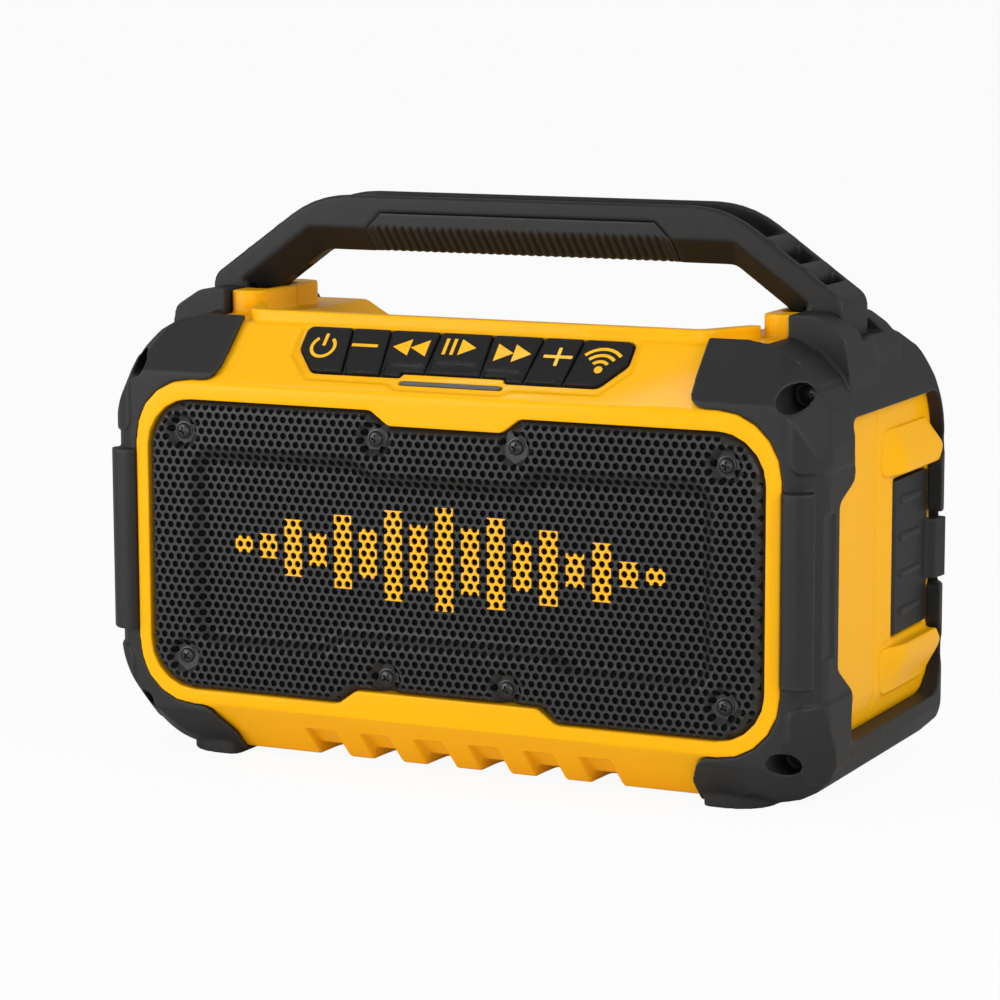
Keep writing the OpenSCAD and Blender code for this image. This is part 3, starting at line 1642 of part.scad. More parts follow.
front_housing();
rear_housing();
left_bumper();
right_bumper();
carry_handle();
handle_grip();
handle_screws();
speaker_grille();
dust_cloth();
grille_screws();
keypad_mat();
power_key();
volume_down_key();
previous_key();
play_key();
next_key();
volume_up_key();
wireless_key();
status_lens();
keypad_board();
port_cover();
port_plate();
audio_jack();
usb_socket();
power_jack();
left_gasket();
left_basket();
left_magnet();
left_cone();
left_dust_cap();
left_voice_coil();
left_surround();
right_gasket();
right_basket();
right_magnet();
right_cone();
right_dust_cap();
right_voice_coil();
right_surround();
driver_screws();
main_board();
board_screws();
heat_sink();
battery_rails();
terminal_block();
terminal_blades();
case_screws();
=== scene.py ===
"""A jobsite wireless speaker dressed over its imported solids: softened mouldings, a fully
perforated grille, a ribbed grip, printed keys, screws, finishes, a plain stage and the camera."""

import json
import math
import bmesh
import bpy
import numpy as np
from mathutils import Matrix, Vector
from mathutils.geometry import delaunay_2d_cdt


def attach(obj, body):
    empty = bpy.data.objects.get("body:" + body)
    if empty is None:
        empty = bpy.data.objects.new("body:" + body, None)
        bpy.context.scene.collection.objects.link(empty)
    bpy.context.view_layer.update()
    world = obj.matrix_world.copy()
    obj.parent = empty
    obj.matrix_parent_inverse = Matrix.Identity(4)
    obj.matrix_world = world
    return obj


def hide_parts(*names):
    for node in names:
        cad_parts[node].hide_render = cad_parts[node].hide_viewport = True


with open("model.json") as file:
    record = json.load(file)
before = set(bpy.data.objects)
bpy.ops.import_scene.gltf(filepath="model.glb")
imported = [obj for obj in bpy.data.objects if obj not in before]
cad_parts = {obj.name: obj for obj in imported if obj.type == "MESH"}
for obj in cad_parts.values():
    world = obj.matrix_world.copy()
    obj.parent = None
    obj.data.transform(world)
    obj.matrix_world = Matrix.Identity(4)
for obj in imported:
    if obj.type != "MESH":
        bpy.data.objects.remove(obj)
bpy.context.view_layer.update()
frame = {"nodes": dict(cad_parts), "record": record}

# Sizes are in millimetres and turn into metres where a mesh is made
MM = 0.001
ROOT2 = math.sqrt(2)


# Finishes

class Field:
    """A socket of a finish, with arithmetic that adds Math nodes."""

    def __init__(self, finish, socket):
        self.finish = finish
        self.socket = socket

    def math(self, operation, *values):
        sockets = dict(enumerate(values))
        return self.finish.node("ShaderNodeMath", {"operation": operation}, sockets)

    def __add__(self, other):
        return self.math("ADD", self, other)

    def __sub__(self, other):
        return self.math("SUBTRACT", self, other)

    def __rsub__(self, other):
        return self.math("SUBTRACT", other, self)

    def __mul__(self, other):
        return self.math("MULTIPLY", self, other)

    def __truediv__(self, other):
        return self.math("DIVIDE", self, other)

    def __rtruediv__(self, other):
        return self.math("DIVIDE", other, self)

    def __lt__(self, other):
        return self.math("LESS_THAN", self, other)

    def __gt__(self, other):
        return self.math("GREATER_THAN", self, other)

    def __abs__(self):
        return self.math("ABSOLUTE", self)

    __radd__ = __add__
    __rmul__ = __mul__

    def most(self, other):
        return self.math("MAXIMUM", self, other)

    def least(self, other):
        return self.math("MINIMUM", self, other)

    def clamped(self):
        return self.most(0.0).least(1.0)


class Finish:
    """A node material round one Principled shader."""

    def __init__(self, name, **constants):
        self.material = bpy.data.materials.new(name)
        self.material.use_nodes = True
        self.tree = self.material.node_tree
        self.tree.nodes.clear()
        self.shader = self.tree.nodes.new("ShaderNodeBsdfPrincipled")
        self.output = self.tree.nodes.new("ShaderNodeOutputMaterial")
        self.tree.links.new(self.shader.outputs[0], self.output.inputs["Surface"])
        for socket, value in constants.items():
            self.shader.inputs[socket.replace("_", " ")].default_value = value

    def node(self, kind, settings=None, sockets=None, out=0):
        made = self.tree.nodes.new(kind)
        for setting, value in (settings or {}).items():
            setattr(made, setting, value)
        for socket, value in (sockets or {}).items():
            if isinstance(value, Field):
                self.tree.links.new(value.socket, made.inputs[socket])
            else:
                made.inputs[socket].default_value = value
        return Field(self, made.outputs[out])

    def feed(self, socket, field):
        self.tree.links.new(field.socket, self.shader.inputs[socket])

    def place(self):
        return self.node("ShaderNodeTexCoord", out="Object")

    def along(self, axis, unit_mm=1.0):
        """Place along an axis of the piece, in millimetres or another unit."""
        metres = self.node("ShaderNodeSeparateXYZ", None, {"Vector": self.place()}, out=axis)
        return metres / (unit_mm * MM)

    def noise(self, size_mm, detail=3.0, rough=0.5):
        sockets = {"Vector": self.place(), "Scale": 1.0 / (size_mm * MM)}
        sockets |= {"Detail": detail, "Roughness": rough}
        return self.node("ShaderNodeTexNoise", {"noise_dimensions": "3D"}, sockets)

    def patches(self, size_mm, contrast=1.4):
        """Broad patches between 0 and 1."""
        return ((self.noise(size_mm) - 0.5) * contrast + 0.5).clamped()

    def edges(self, low, high):
        """0 on flats and hollows, 1 on sharp ridges."""
        ridge = self.node("ShaderNodeNewGeometry", out="Pointiness")
        return ((ridge - low) / (high - low)).clamped()

    def mix(self, factor, a, b):
        sockets = {0: factor, 6: a, 7: b}
        return self.node("ShaderNodeMix", {"data_type": "RGBA"}, sockets, out=2)

    def bump(self, height, distance_mm, strength=1.0):
        sockets = {"Height": height, "Distance": distance_mm * MM, "Strength": strength}
        self.feed("Normal", self.node("ShaderNodeBump", None, sockets))


# Sizes of the patches of tint and of the scuffs on mouldings and metal
TINT_MM = 35.0
SCUFF_MM = 6.0
METAL_TINT_MM = 9.0
# How sharp a ridge is where its paler edge colour begins and where it is full: wear with the firm range,
# wear and painted highlight with the soft range of the black rubber and the handle
FIRM_RIDGE = (0.53, 0.62)
WEAR_AND_HIGHLIGHT_RIDGE = (0.505, 0.56)


def moulded(name, colour, dark, wear_and_highlight_colour, grain_mm, grain_deep_mm, rough, ridge=FIRM_RIDGE, **constants):
    """A moulded plastic or rubber: broad tint, fine grain, ridges paler as wear, and as painted highlight
    with the soft ridge range.
    """
    f = Finish(name, **constants)
    grain = f.noise(grain_mm, rough=0.6)
    scuff = f.noise(SCUFF_MM, 4.0, 0.7)
    # Sharp ridges turn towards the paler third colour: wear, and on the black rubber and the handle
    # painted highlight as well
    wear_and_highlight_share = f.edges(*ridge) * (scuff * 1.6 - 0.35).clamped()
    f.feed("Base Color", f.mix(wear_and_highlight_share, f.mix(f.patches(TINT_MM), colour, dark), wear_and_highlight_colour))
    f.feed("Roughness", (grain - 0.5) * 0.16 + (scuff - 0.5) * 0.1 + rough)
    f.bump(grain, grain_deep_mm)
    return f.material


def shade(value, tint=0.0):
    """A grey, a little bluer by a tint."""
    return (value, value, value * (1.0 + tint), 1.0)


YELLOW = (0.93, 0.455, 0.004, 1.0)
YELLOW_DEEP = (0.91, 0.43, 0.0035, 1.0)
YELLOW_RUBBED = (0.95, 0.52, 0.03, 1.0)

yellow_plastic = moulded(
    "yellow_plastic", YELLOW, YELLOW_DEEP, YELLOW_RUBBED, grain_mm=0.6, grain_deep_mm=0.005, rough=0.34,
    Specular_IOR_Level=0.05, Coat_Weight=0.1, Coat_Roughness=0.05,
)
# The bumper's paler third colour and soft ridge range make its edges lighter: partly wear, partly painted
# highlight
bumper_rubber = moulded(
    "bumper_rubber", shade(0.016), shade(0.012), shade(0.05), grain_mm=0.55, grain_deep_mm=0.03,
    rough=0.54, ridge=WEAR_AND_HIGHLIGHT_RIDGE, Specular_IOR_Level=0.28,
)
# The handle's paler third colour and soft ridge range make its edges lighter: partly wear, partly painted
# highlight
handle_plastic = moulded(
    "handle_plastic", shade(0.012), shade(0.009), shade(0.045), grain_mm=0.45, grain_deep_mm=0.02,
    rough=0.48, ridge=WEAR_AND_HIGHLIGHT_RIDGE, Specular_IOR_Level=0.25,
)
key_rubber = moulded(
    "key_rubber", shade(0.009), shade(0.007), shade(0.025), grain_mm=0.4, grain_deep_mm=0.012,
    rough=0.55, Specular_IOR_Level=0.2,
)
black_plastic = moulded(
    "black_plastic", shade(0.014), shade(0.011), shade(0.03), grain_mm=0.5, grain_deep_mm=0.012,
    rough=0.42,
)
lens_plastic = moulded(
    "lens_plastic", shade(0.085, 0.04), shade(0.07, 0.04), shade(0.12), grain_mm=0.8, grain_deep_mm=0.002,
    rough=0.35, Specular_IOR_Level=0.3,
)
foam_gasket = moulded(
    "foam_gasket", shade(0.012), shade(0.008), shade(0.02), grain_mm=0.9, grain_deep_mm=0.08, rough=0.8,
)
cone_plastic = moulded(
    "cone_plastic", shade(0.016), shade(0.011), shade(0.03), grain_mm=1.2, grain_deep_mm=0.03, rough=0.55,
)
board_mask = moulded(
    "board_mask", (0.02, 0.13, 0.05, 1.0), (0.012, 0.09, 0.035, 1.0), (0.1, 0.25, 0.12, 1.0),
    grain_mm=1.5, grain_deep_mm=0.01, rough=0.35,
)


def metal(name, colour, dark, rough, grain_mm, grain_deep_mm, metallic=1.0):
    """Plated, cast or drawn metal: tint and roughness vary with the grain."""
    f = Finish(name, Metallic=metallic)
    grain = f.noise(grain_mm, 4.0, 0.6)
    f.feed("Base Color", f.mix(f.patches(METAL_TINT_MM, 1.5), colour, dark))
    f.feed("Roughness", (grain - 0.5) * 0.3 + rough)
    f.bump(grain, grain_deep_mm)
    return f.material


screw_steel = metal(
    "screw_steel", shade(0.58, 0.03), shade(0.46, 0.03), rough=0.30, grain_mm=0.3, grain_deep_mm=0.004,
)
black_screw = metal(
    "black_screw", shade(0.020), shade(0.014), rough=0.32, grain_mm=0.3, grain_deep_mm=0.006,
    metallic=0.3,
)
basket_metal = metal(
    "basket_metal", shade(0.05), shade(0.035), rough=0.45, grain_mm=0.8, grain_deep_mm=0.01, metallic=0.5,
)
magnet_iron = metal(
    "magnet_iron", shade(0.10), shade(0.07), rough=0.55, grain_mm=0.6, grain_deep_mm=0.02, metallic=0.6,
)
sink_aluminium = metal(
    "sink_aluminium", shade(0.62, 0.02), shade(0.52, 0.02), rough=0.35, grain_mm=0.5, grain_deep_mm=0.006,
)
blade_brass = metal(
    "blade_brass", (0.78, 0.56, 0.22, 1.0), (0.62, 0.42, 0.15, 1.0),
    rough=0.28, grain_mm=0.4, grain_deep_mm=0.003,
)

WIRE_MM = 0.35
THREAD_MM = 0.5


def coil_winding():
    """Copper wire wound in fine turns along the axis of the coil, painted darker where the turns meet as
    shade in the grooves.
    """
    f = Finish("coil_copper", Metallic=1.0, Roughness=0.35)
    wires = f.along("Y", WIRE_MM)
    turn = abs(wires.math("FRACT", wires) - 0.5) * 2.0
    # Darker copper in the grooves between turns: painted shade
    f.feed("Base Color", f.mix(turn, (0.62, 0.27, 0.10, 1.0), (0.35, 0.13, 0.05, 1.0)))
    f.bump(1.0 - turn, 0.08)
    return f.material


coil_copper = coil_winding()

# Sound level bars painted on the middle panel of the grille, tallest in the middle
BAR_PITCH = 9.6
BAR_HALF_W = 3.3
BAR_HALF_HEIGHTS = [17.6, 11.2, 15.4, 8.4, 12.6, 5.6, 9.8, 4.2, 2.8]
MARK_X = -1.2
MARK_Z = 77.3


def grille_paint():
    """Black powder coat on the pressed sheet, with generic level bars in yellow."""
    f = Finish("grille_paint", Specular_IOR_Level=0.3)
    grain = f.noise(0.35, rough=0.6)
    across, up = abs(f.along("X") - MARK_X), abs(f.along("Z") - MARK_Z)
    bars = sum(
        (abs(across - i * BAR_PITCH) < BAR_HALF_W) * (up < half_h)
        for i, half_h in enumerate(BAR_HALF_HEIGHTS)
    )
    coat = f.mix(f.patches(28.0), shade(0.024), shade(0.017))
    f.feed("Base Color", f.mix(bars.clamped(), coat, YELLOW))
    f.feed("Roughness", (grain - 0.5) * 0.25 + 0.45)
    f.bump(grain, 0.012)
    return f.material


grille_metal = grille_paint()


def woven_cloth():
    """Fine black cloth in a plain weave."""
    f = Finish("dust_cloth", Roughness=0.9, Specular_IOR_Level=0.1)
    x, z = f.along("X", THREAD_MM), f.along("Z", THREAD_MM)
    weave = x.math("SINE", x * math.pi) * z.math("SINE", z * math.pi) * 0.5 + 0.5
    f.feed("Base Color", f.mix(weave, shade(0.0025), shade(0.006)))
    f.bump(weave, 0.06)
    return f.material


dust_cloth = woven_cloth()

SLOTS = {
    "yellow_plastic": yellow_plastic, "bumper_rubber": bumper_rubber, "handle_plastic": handle_plastic,
    "grille_metal": grille_metal, "black_screw": black_screw, "key_rubber": key_rubber,
    "lens_plastic": lens_plastic, "circuit_board": board_mask, "screw_steel": screw_steel,
    "black_plastic": black_plastic, "foam_gasket": foam_gasket, "basket_metal": basket_metal,
    "magnet_iron": magnet_iron, "cone_plastic": cone_plastic, "coil_copper": coil_copper,
    "sink_aluminium": sink_aluminium, "blade_brass": blade_brass, "dust_cloth": dust_cloth,
}
slot_of = {part["node"]: part["material_slot"] for part in frame["record"]["subparts"]}
body_of = {n: body for body, nodes in frame["record"]["behaviour"]["bodies"].items() for n in nodes}
for node, solid in frame["nodes"].items():
    solid.data.materials.clear()
    solid.data.materials.append(SLOTS[slot_of[node]])


# Pieces

def add_piece(name, mesh, node, replaces=True, slot=None):
    """Puts a mesh on a solid's body, in its place or beside it, in its finish or another."""
    slot = slot or slot_of[node]
    piece = bpy.data.objects.new(name, mesh)
    bpy.context.scene.collection.objects.link(piece)
    mesh.materials.clear()
    mesh.materials.append(SLOTS[slot])
    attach(piece, body_of[node])
    if replaces:
        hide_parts(node)
    return piece


def baked(mesh, *modifiers):
    """The mesh after a list of (type, settings) modifiers."""
    carrier = bpy.data.objects.new("carrier", mesh)
    bpy.context.scene.collection.objects.link(carrier)
    for kind, settings in modifiers:
        modifier = carrier.modifiers.new(kind, kind)
        for setting, value in settings.items():
            setattr(modifier, setting, value)
    graph = bpy.context.evaluated_depsgraph_get()
    done = bpy.data.meshes.new_from_object(carrier.evaluated_get(graph))
    bpy.data.objects.remove(carrier)
    return done


def welded(mesh):
    """A copy of a mesh with its doubled points joined."""
    work = bmesh.new()
    work.from_mesh(mesh)
    bmesh.ops.remove_doubles(work, verts=work.verts, dist=0.001 * MM)
    copy = bpy.data.meshes.new("welded")
    work.to_mesh(copy)
    work.free()
    return copy


def shaded(mesh, sharp_degrees=None):
    """Smooth shading, with the edges above an angle kept sharp."""
    mesh.shade_smooth()
    if sharp_degrees:
        mesh.set_sharp_from_angle(angle=math.radians(sharp_degrees))
    return mesh


def reshaped(mesh, shape):
    """Moves the points of a mesh by a function of their places in millimetres."""
    points = np.empty(len(mesh.vertices) * 3)
    mesh.vertices.foreach_get("co", points)
    mesh.vertices.foreach_set("co", (shape(points.reshape(-1, 3) / MM) * MM).ravel())
    mesh.update()


def soften(node, voxel_mm, rounds, keep, shape=None):
    """Replaces a solid by its moulded look: every edge rounded by remeshing and relaxing."""
    remesh = {"mode": "VOXEL", "voxel_size": voxel_mm * MM, "use_smooth_shade": True}
    mesh = baked(welded(frame["nodes"][node].data), ("REMESH", remesh))
    if shape:
        reshaped(mesh, shape)
    relax = {"factor": 0.5, "iterations": rounds}
    mesh = baked(mesh, ("SMOOTH", relax), ("DECIMATE", {"ratio": keep}))
    return add_piece(node + "_moulding", shaded(mesh), node)


def mesh_of(name, points, faces):
    """A mesh from points in millimetres."""
    mesh = bpy.data.meshes.new(name)
    mesh.from_pydata([tuple(c * MM for c in p) for p in points], [], faces)
    mesh.update()
    return mesh


def smooth_step(low, high, value):
    """0 up to low, 1 from high on, with an even curve between."""
    t = np.clip((value - low) / (high - low), 0.0, 1.0)
    return t * t * (3.0 - 2.0 * t)


# Grille

FLANGE_Y = -68.9
PRESS_D = 3.3
SHEET_T = 0.9
OPENING_X = 114.1
OPENING_LOW_Z = 25.5
OPENING_HIGH_Z = 126.2
OPENING_R = 16.6
TONGUE_H = 5.0
TONGUE_TOP_X = 21.2
TONGUE_LOW_X = 34.2
TONGUE_RUN = 6.8
TONGUE_R = 4.0
PRESS_X = 97.5
PRESS_LOW_Z = 40.6
PRESS_HIGH_Z = 111.1
PRESS_R = 9.0
PRESS_TIP_TOP_X = 26.5
PRESS_TIP_LOW_X = 38.0
PRESS_RUN = 8.0
PRESS_SLOPE = 6.0
RIM_R = 3.2
PITCH = 3.2
HOLE_R = 1.2
HOLE_SIDES = 12
HOLE_MARGIN = 0.5
LATTICE_X = -2.8
LATTICE_Z = 77.3
LATTICE_REACH_Z = 60.0
BORDER_STEP = 1.2
SCREW_X = 100.6
SCREWS = [
    (side * x, z)
    for side in (-1, 1)
    for x, z in ((SCREW_X, 115.6), (SCREW_X, 36.6), (26.0, 117.0), (22.5, 35.5))
]
SCREW_CLEAR = 3.0
DIMPLE_D = 2.6
DIMPLE_FLAT_R = 4.3
DIMPLE_R = 6.3
BOSS_R = 4.8


def rounded(corners, steps=8):
    """Outline of [x, z, radius] corners with each corner turned into an arc."""
    outline = []
    n = len(corners)
    for i, (x, z, r) in enumerate(corners):
        here = np.array([x, z])
        back = np.array(corners[i - 1][:2]) - here
        ahead = np.array(corners[(i + 1) % n][:2]) - here
        back, ahead = back / np.linalg.norm(back), ahead / np.linalg.norm(ahead)
        if r <= 0:
            outline.append(here)
            continue
        half = math.acos(np.clip(back @ ahead, -1, 1)) / 2
        middle = here + (back + ahead) / np.linalg.norm(back + ahead) * r / math.sin(half)
        first = here + back * r / math.tan(half) - middle
        start = math.atan2(first[1], first[0])
        turn = (math.pi - 2 * half) * (-1 if back[0] * ahead[1] - back[1] * ahead[0] > 0 else 1)
        for k in range(steps + 1):
            a = start + turn * k / steps
            outline.append(middle + r * np.array([math.cos(a), math.sin(a)]))
    return np.array(outline)


def mirrored(corners):
    """Corners of a right half, and then of the left half."""
    return corners + [(-x, z, r) for x, z, r in reversed(corners)]


def spaced(outline, step):
    """Points at even steps round a closed outline."""
    closed = np.vstack([outline, outline[:1]])
    lengths = np.linalg.norm(np.diff(closed, axis=0), axis=1)
    along = np.concatenate([[0], np.cumsum(lengths)])
    marks = np.linspace(0, along[-1], int(along[-1] / step), endpoint=False)
    return np.stack([np.interp(marks, along, closed[:, k]) for k in (0, 1)], axis=1)


def depth_inside(points, outline):
    """Distance of each point from a closed outline, positive inside."""
    a = outline
    b = np.roll(outline, -1, axis=0)
    edge = b - a
    nearest = np.full(len(points), 1e9)
    inside = np.zeros(len(points), bool)
    for p, q, e in zip(a, b, edge):
        t = np.clip(((points - p) @ e) / (e @ e), 0, 1)
        nearest = np.minimum(nearest, np.linalg.norm(points - p - t[:, None] * e, axis=1))
        crosses = (p[1] > points[:, 1]) != (q[1] > points[:, 1])
        if e[1] != 0:
            inside ^= crosses & (points[:, 0] < p[0] + (points[:, 1] - p[1]) / e[1] * e[0])
    return np.where(inside, nearest, -nearest)


GRILLE_OUTLINE = rounded(mirrored([
    (TONGUE_LOW_X, OPENING_LOW_Z + TONGUE_H, TONGUE_R),
    (TONGUE_LOW_X + TONGUE_RUN, OPENING_LOW_Z, TONGUE_R),
    (OPENING_X, OPENING_LOW_Z, OPENING_R), (OPENING_X, OPENING_HIGH_Z, OPENING_R),
    (TONGUE_TOP_X + TONGUE_RUN, OPENING_HIGH_Z, TONGUE_R),
    (TONGUE_TOP_X, OPENING_HIGH_Z - TONGUE_H, TONGUE_R),
]))
PRESS_OUTLINE = rounded(mirrored([
    (PRESS_TIP_LOW_X, PRESS_LOW_Z + TONGUE_H, TONGUE_R),
    (PRESS_TIP_LOW_X + PRESS_RUN, PRESS_LOW_Z, TONGUE_R),
    (PRESS_X, PRESS_LOW_Z, PRESS_R), (PRESS_X, PRESS_HIGH_Z, PRESS_R),
    (PRESS_TIP_TOP_X + PRESS_RUN, PRESS_HIGH_Z, TONGUE_R),
    (PRESS_TIP_TOP_X, PRESS_HIGH_Z - TONGUE_H, TONGUE_R),
]))


def sheet_y(points):
    """Front face of the pressed sheet at each [x, z]: rolled rim, flange, dimples and sunk panel."""
    rim = np.clip(RIM_R - depth_inside(points, GRILLE_OUTLINE), 0.0, RIM_R)
    y = FLANGE_Y + RIM_R - np.sqrt(RIM_R**2 - rim**2)
    y += PRESS_D * smooth_step(0.0, PRESS_SLOPE, depth_inside(points, PRESS_OUTLINE))
    for place in SCREWS:
        off = np.linalg.norm(points - np.array(place), axis=1)
        y += DIMPLE_D * (1.0 - smooth_step(DIMPLE_FLAT_R, DIMPLE_R, off))
    return y


def sheet_mesh(points, edges, holes_n=0):
    """Flat [x, z] points and edges filled with faces round the holes, and pressed to shape."""
    flat, _, faces, sources, _, _ = delaunay_2d_cdt(points, edges, [], 1, 1e-6)
    owner = [s[0] // HOLE_SIDES if s and s[0] < holes_n else -1 for s in sources]
    kept = [f for f in faces if owner[f[0]] < 0 or any(owner[v] != owner[f[0]] for v in f)]
    flat = np.array(flat)
    mesh = mesh_of("sheet", [(p[0], d, p[1]) for p, d in zip(flat, sheet_y(flat))], kept)
    work = bmesh.new()
    work.from_mesh(mesh)
    bmesh.ops.delete(work, geom=[v for v in work.verts if not v.link_faces], context="VERTS")
    bmesh.ops.recalc_face_normals(work, faces=work.faces)
    if sum(f.normal.y * f.calc_area() for f in work.faces) > 0:
        bmesh.ops.reverse_faces(work, faces=work.faces)
    work.to_mesh(mesh)
    work.free()
    return mesh


def thickened(mesh, thickness_mm):
    """A sheet given a thickness behind its front."""
    return baked(mesh, ("SOLIDIFY", {"thickness": thickness_mm * MM, "offset": -1.0}))


def loop_edges(first, n):
    """Edges round a loop of n points."""
    return [(first + k, first + (k + 1) % n) for k in range(n)]


def perforated_grille():
    """Sheet with a round hole at every lattice point that has room for one."""
    row = PITCH * math.sqrt(3) / 2
    reach = (int(OPENING_X / PITCH) + 2, int(LATTICE_REACH_Z / row) + 2)
    centres = np.array([
        (LATTICE_X + (i + 0.5 * (j % 2)) * PITCH, LATTICE_Z + j * row)
        for j in range(-reach[1], reach[1] + 1)
        for i in range(-reach[0], reach[0] + 1)
    ])
    room = depth_inside(centres, GRILLE_OUTLINE) > HOLE_R + HOLE_MARGIN
    for place in SCREWS:
        room &= np.linalg.norm(centres - np.array(place), axis=1) > HOLE_R + SCREW_CLEAR
    centres = centres[room]
    angle = 2 * math.pi * np.arange(HOLE_SIDES) / HOLE_SIDES
    circle = HOLE_R * np.stack([np.cos(angle), np.sin(angle)], axis=1)
    holes = (centres[:, None, :] + circle[None, :, :]).reshape(-1, 2)
    border = spaced(GRILLE_OUTLINE, BORDER_STEP)
    edges = [e for h in range(len(centres)) for e in loop_edges(h * HOLE_SIDES, HOLE_SIDES)]
    edges += loop_edges(len(holes), len(border))
    mesh = sheet_mesh([Vector(p) for p in np.vstack([holes, border])], edges, len(holes))
    return add_piece("perforated_grille", shaded(thickened(mesh, SHEET_T), 40), "speaker_grille")


CLOTH_STEP = 1.6
CLOTH_BEHIND = 0.1
CLOTH_T = 0.25


def dust_screen():
    """Black cloth that follows the back of the sheet."""
    border = spaced(GRILLE_OUTLINE, CLOTH_STEP)
    across = np.arange(-OPENING_X, OPENING_X, CLOTH_STEP)
    up = np.arange(OPENING_LOW_Z, OPENING_HIGH_Z, CLOTH_STEP)
    inner = np.array([(x, z) for x in across for z in up])
    inner = inner[depth_inside(inner, GRILLE_OUTLINE) > CLOTH_STEP / 2]
    mesh = sheet_mesh([Vector(p) for p in np.vstack([border, inner])], loop_edges(0, len(border)))
    mesh.transform(Matrix.Translation((0.0, (SHEET_T + CLOTH_BEHIND) * MM, 0.0)))
    return add_piece("dust_screen", shaded(thickened(mesh, CLOTH_T)), "dust_cloth")


perforated_grille()
dust_screen()


# Grip

GRIP_HALF = 57.8
GRIP_TIP_Z = 182.0
GRIP_T = 1.8
GRIP_PITCH = 3.1
GRIP_GROOVE = 0.9
GRIP_STRIP_Z = 183.4
GRIP_STRIP_FADE = 1.0
GRIP_RIBS_END = (54.5, 56.0)
GRIP_ROUND_STEP = 0.7
GRIP_LONG_STEP = 0.3
GRIP_PROFILE = [
    (-12.6, 187.9, 0.0), (-12.6, 182.5, 3.0), (-4.0, 174.05, 4.0),
    (4.0, 174.05, 4.0), (12.6, 182.5, 3.0), (12.6, 187.9, 0.0),
]


def ribbed_grip():
    """Rubber grip round the bar: a smooth strip along each upper edge, close cross ribs below it."""
    path = rounded(GRIP_PROFILE)
    along = np.concatenate([[0], np.cumsum(np.linalg.norm(np.diff(path, axis=0), axis=1))])
    marks = np.linspace(0, along[-1], int(along[-1] / GRIP_ROUND_STEP))
    y, z = (np.interp(marks, along, path[:, k]) for k in (0, 1))
    run = np.stack([np.gradient(y), np.gradient(z)], axis=1)
    run /= np.linalg.norm(run, axis=1)[:, None]
    inward = np.stack([-run[:, 1], run[:, 0]], axis=1)
    ends = GRIP_HALF - np.maximum(z - GRIP_TIP_Z, 0.0)
    steps = int(2 * GRIP_HALF / GRIP_LONG_STEP)
    ribbed = 1.0 - smooth_step(GRIP_STRIP_Z - GRIP_STRIP_FADE, GRIP_STRIP_Z, z)
    points = []
    for s in np.linspace(-1.0, 1.0, steps + 1):
        x = s * ends
        groove = (0.5 + 0.5 * np.cos(2 * math.pi * x / GRIP_PITCH)) ** 2
        sunk = GRIP_GROOVE * groove * ribbed * (1.0 - smooth_step(*GRIP_RIBS_END, np.abs(x)))
        points += [(a, b + n[0] * d, c + n[1] * d) for a, b, c, n, d in zip(x, y, z, inward, sunk)]
    m = len(marks)
    faces = [
        (i * m + j, i * m + j + 1, (i + 1) * m + j + 1, (i + 1) * m + j)
        for i in range(steps) for j in range(m - 1)
    ]
    mesh = thickened(mesh_of("grip", points, faces), GRIP_T)
    return add_piece("ribbed_grip", shaded(mesh, 50), "handle_grip")


ribbed_grip()


# Screws

def ring_faces(first, n):
    """Faces between a ring of n points and the next ring."""
    return [(first + k, first + (k + 1) % n, first + n + (k + 1) % n, first + n + k) for k in range(n)]


def turned(profile, sides=32):
    """Points and faces of [radius, height] steps turned round a z axis, closed at both ends."""
    points, faces = [], []
    for r, h in profile:
        points += [
            (r * math.cos(2 * math.pi * k / sides), r * math.sin(2 * math.pi * k / sides), h)
            for k in range(sides)
        ]
    for i in range(len(profile) - 1):
        faces += ring_faces(i * sides, sides)
    faces.append(tuple(reversed(range(sides))))
    faces.append(tuple(range(len(points) - sides, len(points))))
    return points, faces


def cross_cutter(reach, width, low, high):
    """A tapered cross that leaves a driver recess."""
    points, faces = [], []
    for turn in (0, 1):
        first = len(points)
        for h, grow in ((low, 0.7), (high, 1.0)):
            for sx, sy in ((-1, -1), (1, -1), (1, 1), (-1, 1)):
                x, y = sx * reach * grow, sy * width / 2 * grow
                points.append((-y, x, h) if turn else (x, y, h))
        faces += [tuple(first + v for v in f) for f in (
            (3, 2, 1, 0), (4, 5, 6, 7), (0, 1, 5, 4), (1, 2, 6, 5), (2, 3, 7, 6), (3, 0, 4, 7),
        )]
    return points, faces


def screw_mesh(head_r, head_h, washer_r, shank_r, shank_l):
    """A pan-head screw with a washer face and a cross recess, head up."""
    shank = [(shank_r * 0.5, -shank_l), (shank_r, -shank_l + 1.0), (shank_r, 0.0)]
    washer = [(washer_r, 0.0), (washer_r, head_h * 0.2), (head_r, head_h * 0.25)]
    dome = [
        (head_r * math.cos(a), head_h * (0.35 + 0.65 * math.sin(a)))
        for a in np.linspace(0.0, math.radians(80), 7)
    ]
    body = mesh_of("screw", *turned(shank + washer + dome))
    cross = cross_cutter(head_r * 0.62, head_r * 0.3, head_h * 0.25, head_h + 1.0)
    cutter = bpy.data.objects.new("cross", mesh_of("cross", *cross))
    bpy.context.scene.collection.objects.link(cutter)
    recess = {"operation": "DIFFERENCE", "object": cutter, "solver": "EXACT", "use_self": True}
    cut = baked(body, ("BOOLEAN", recess))
    bpy.data.objects.remove(cutter)
    return cut


FIRST_TURN = 0.2
NEXT_TURN = 0.7


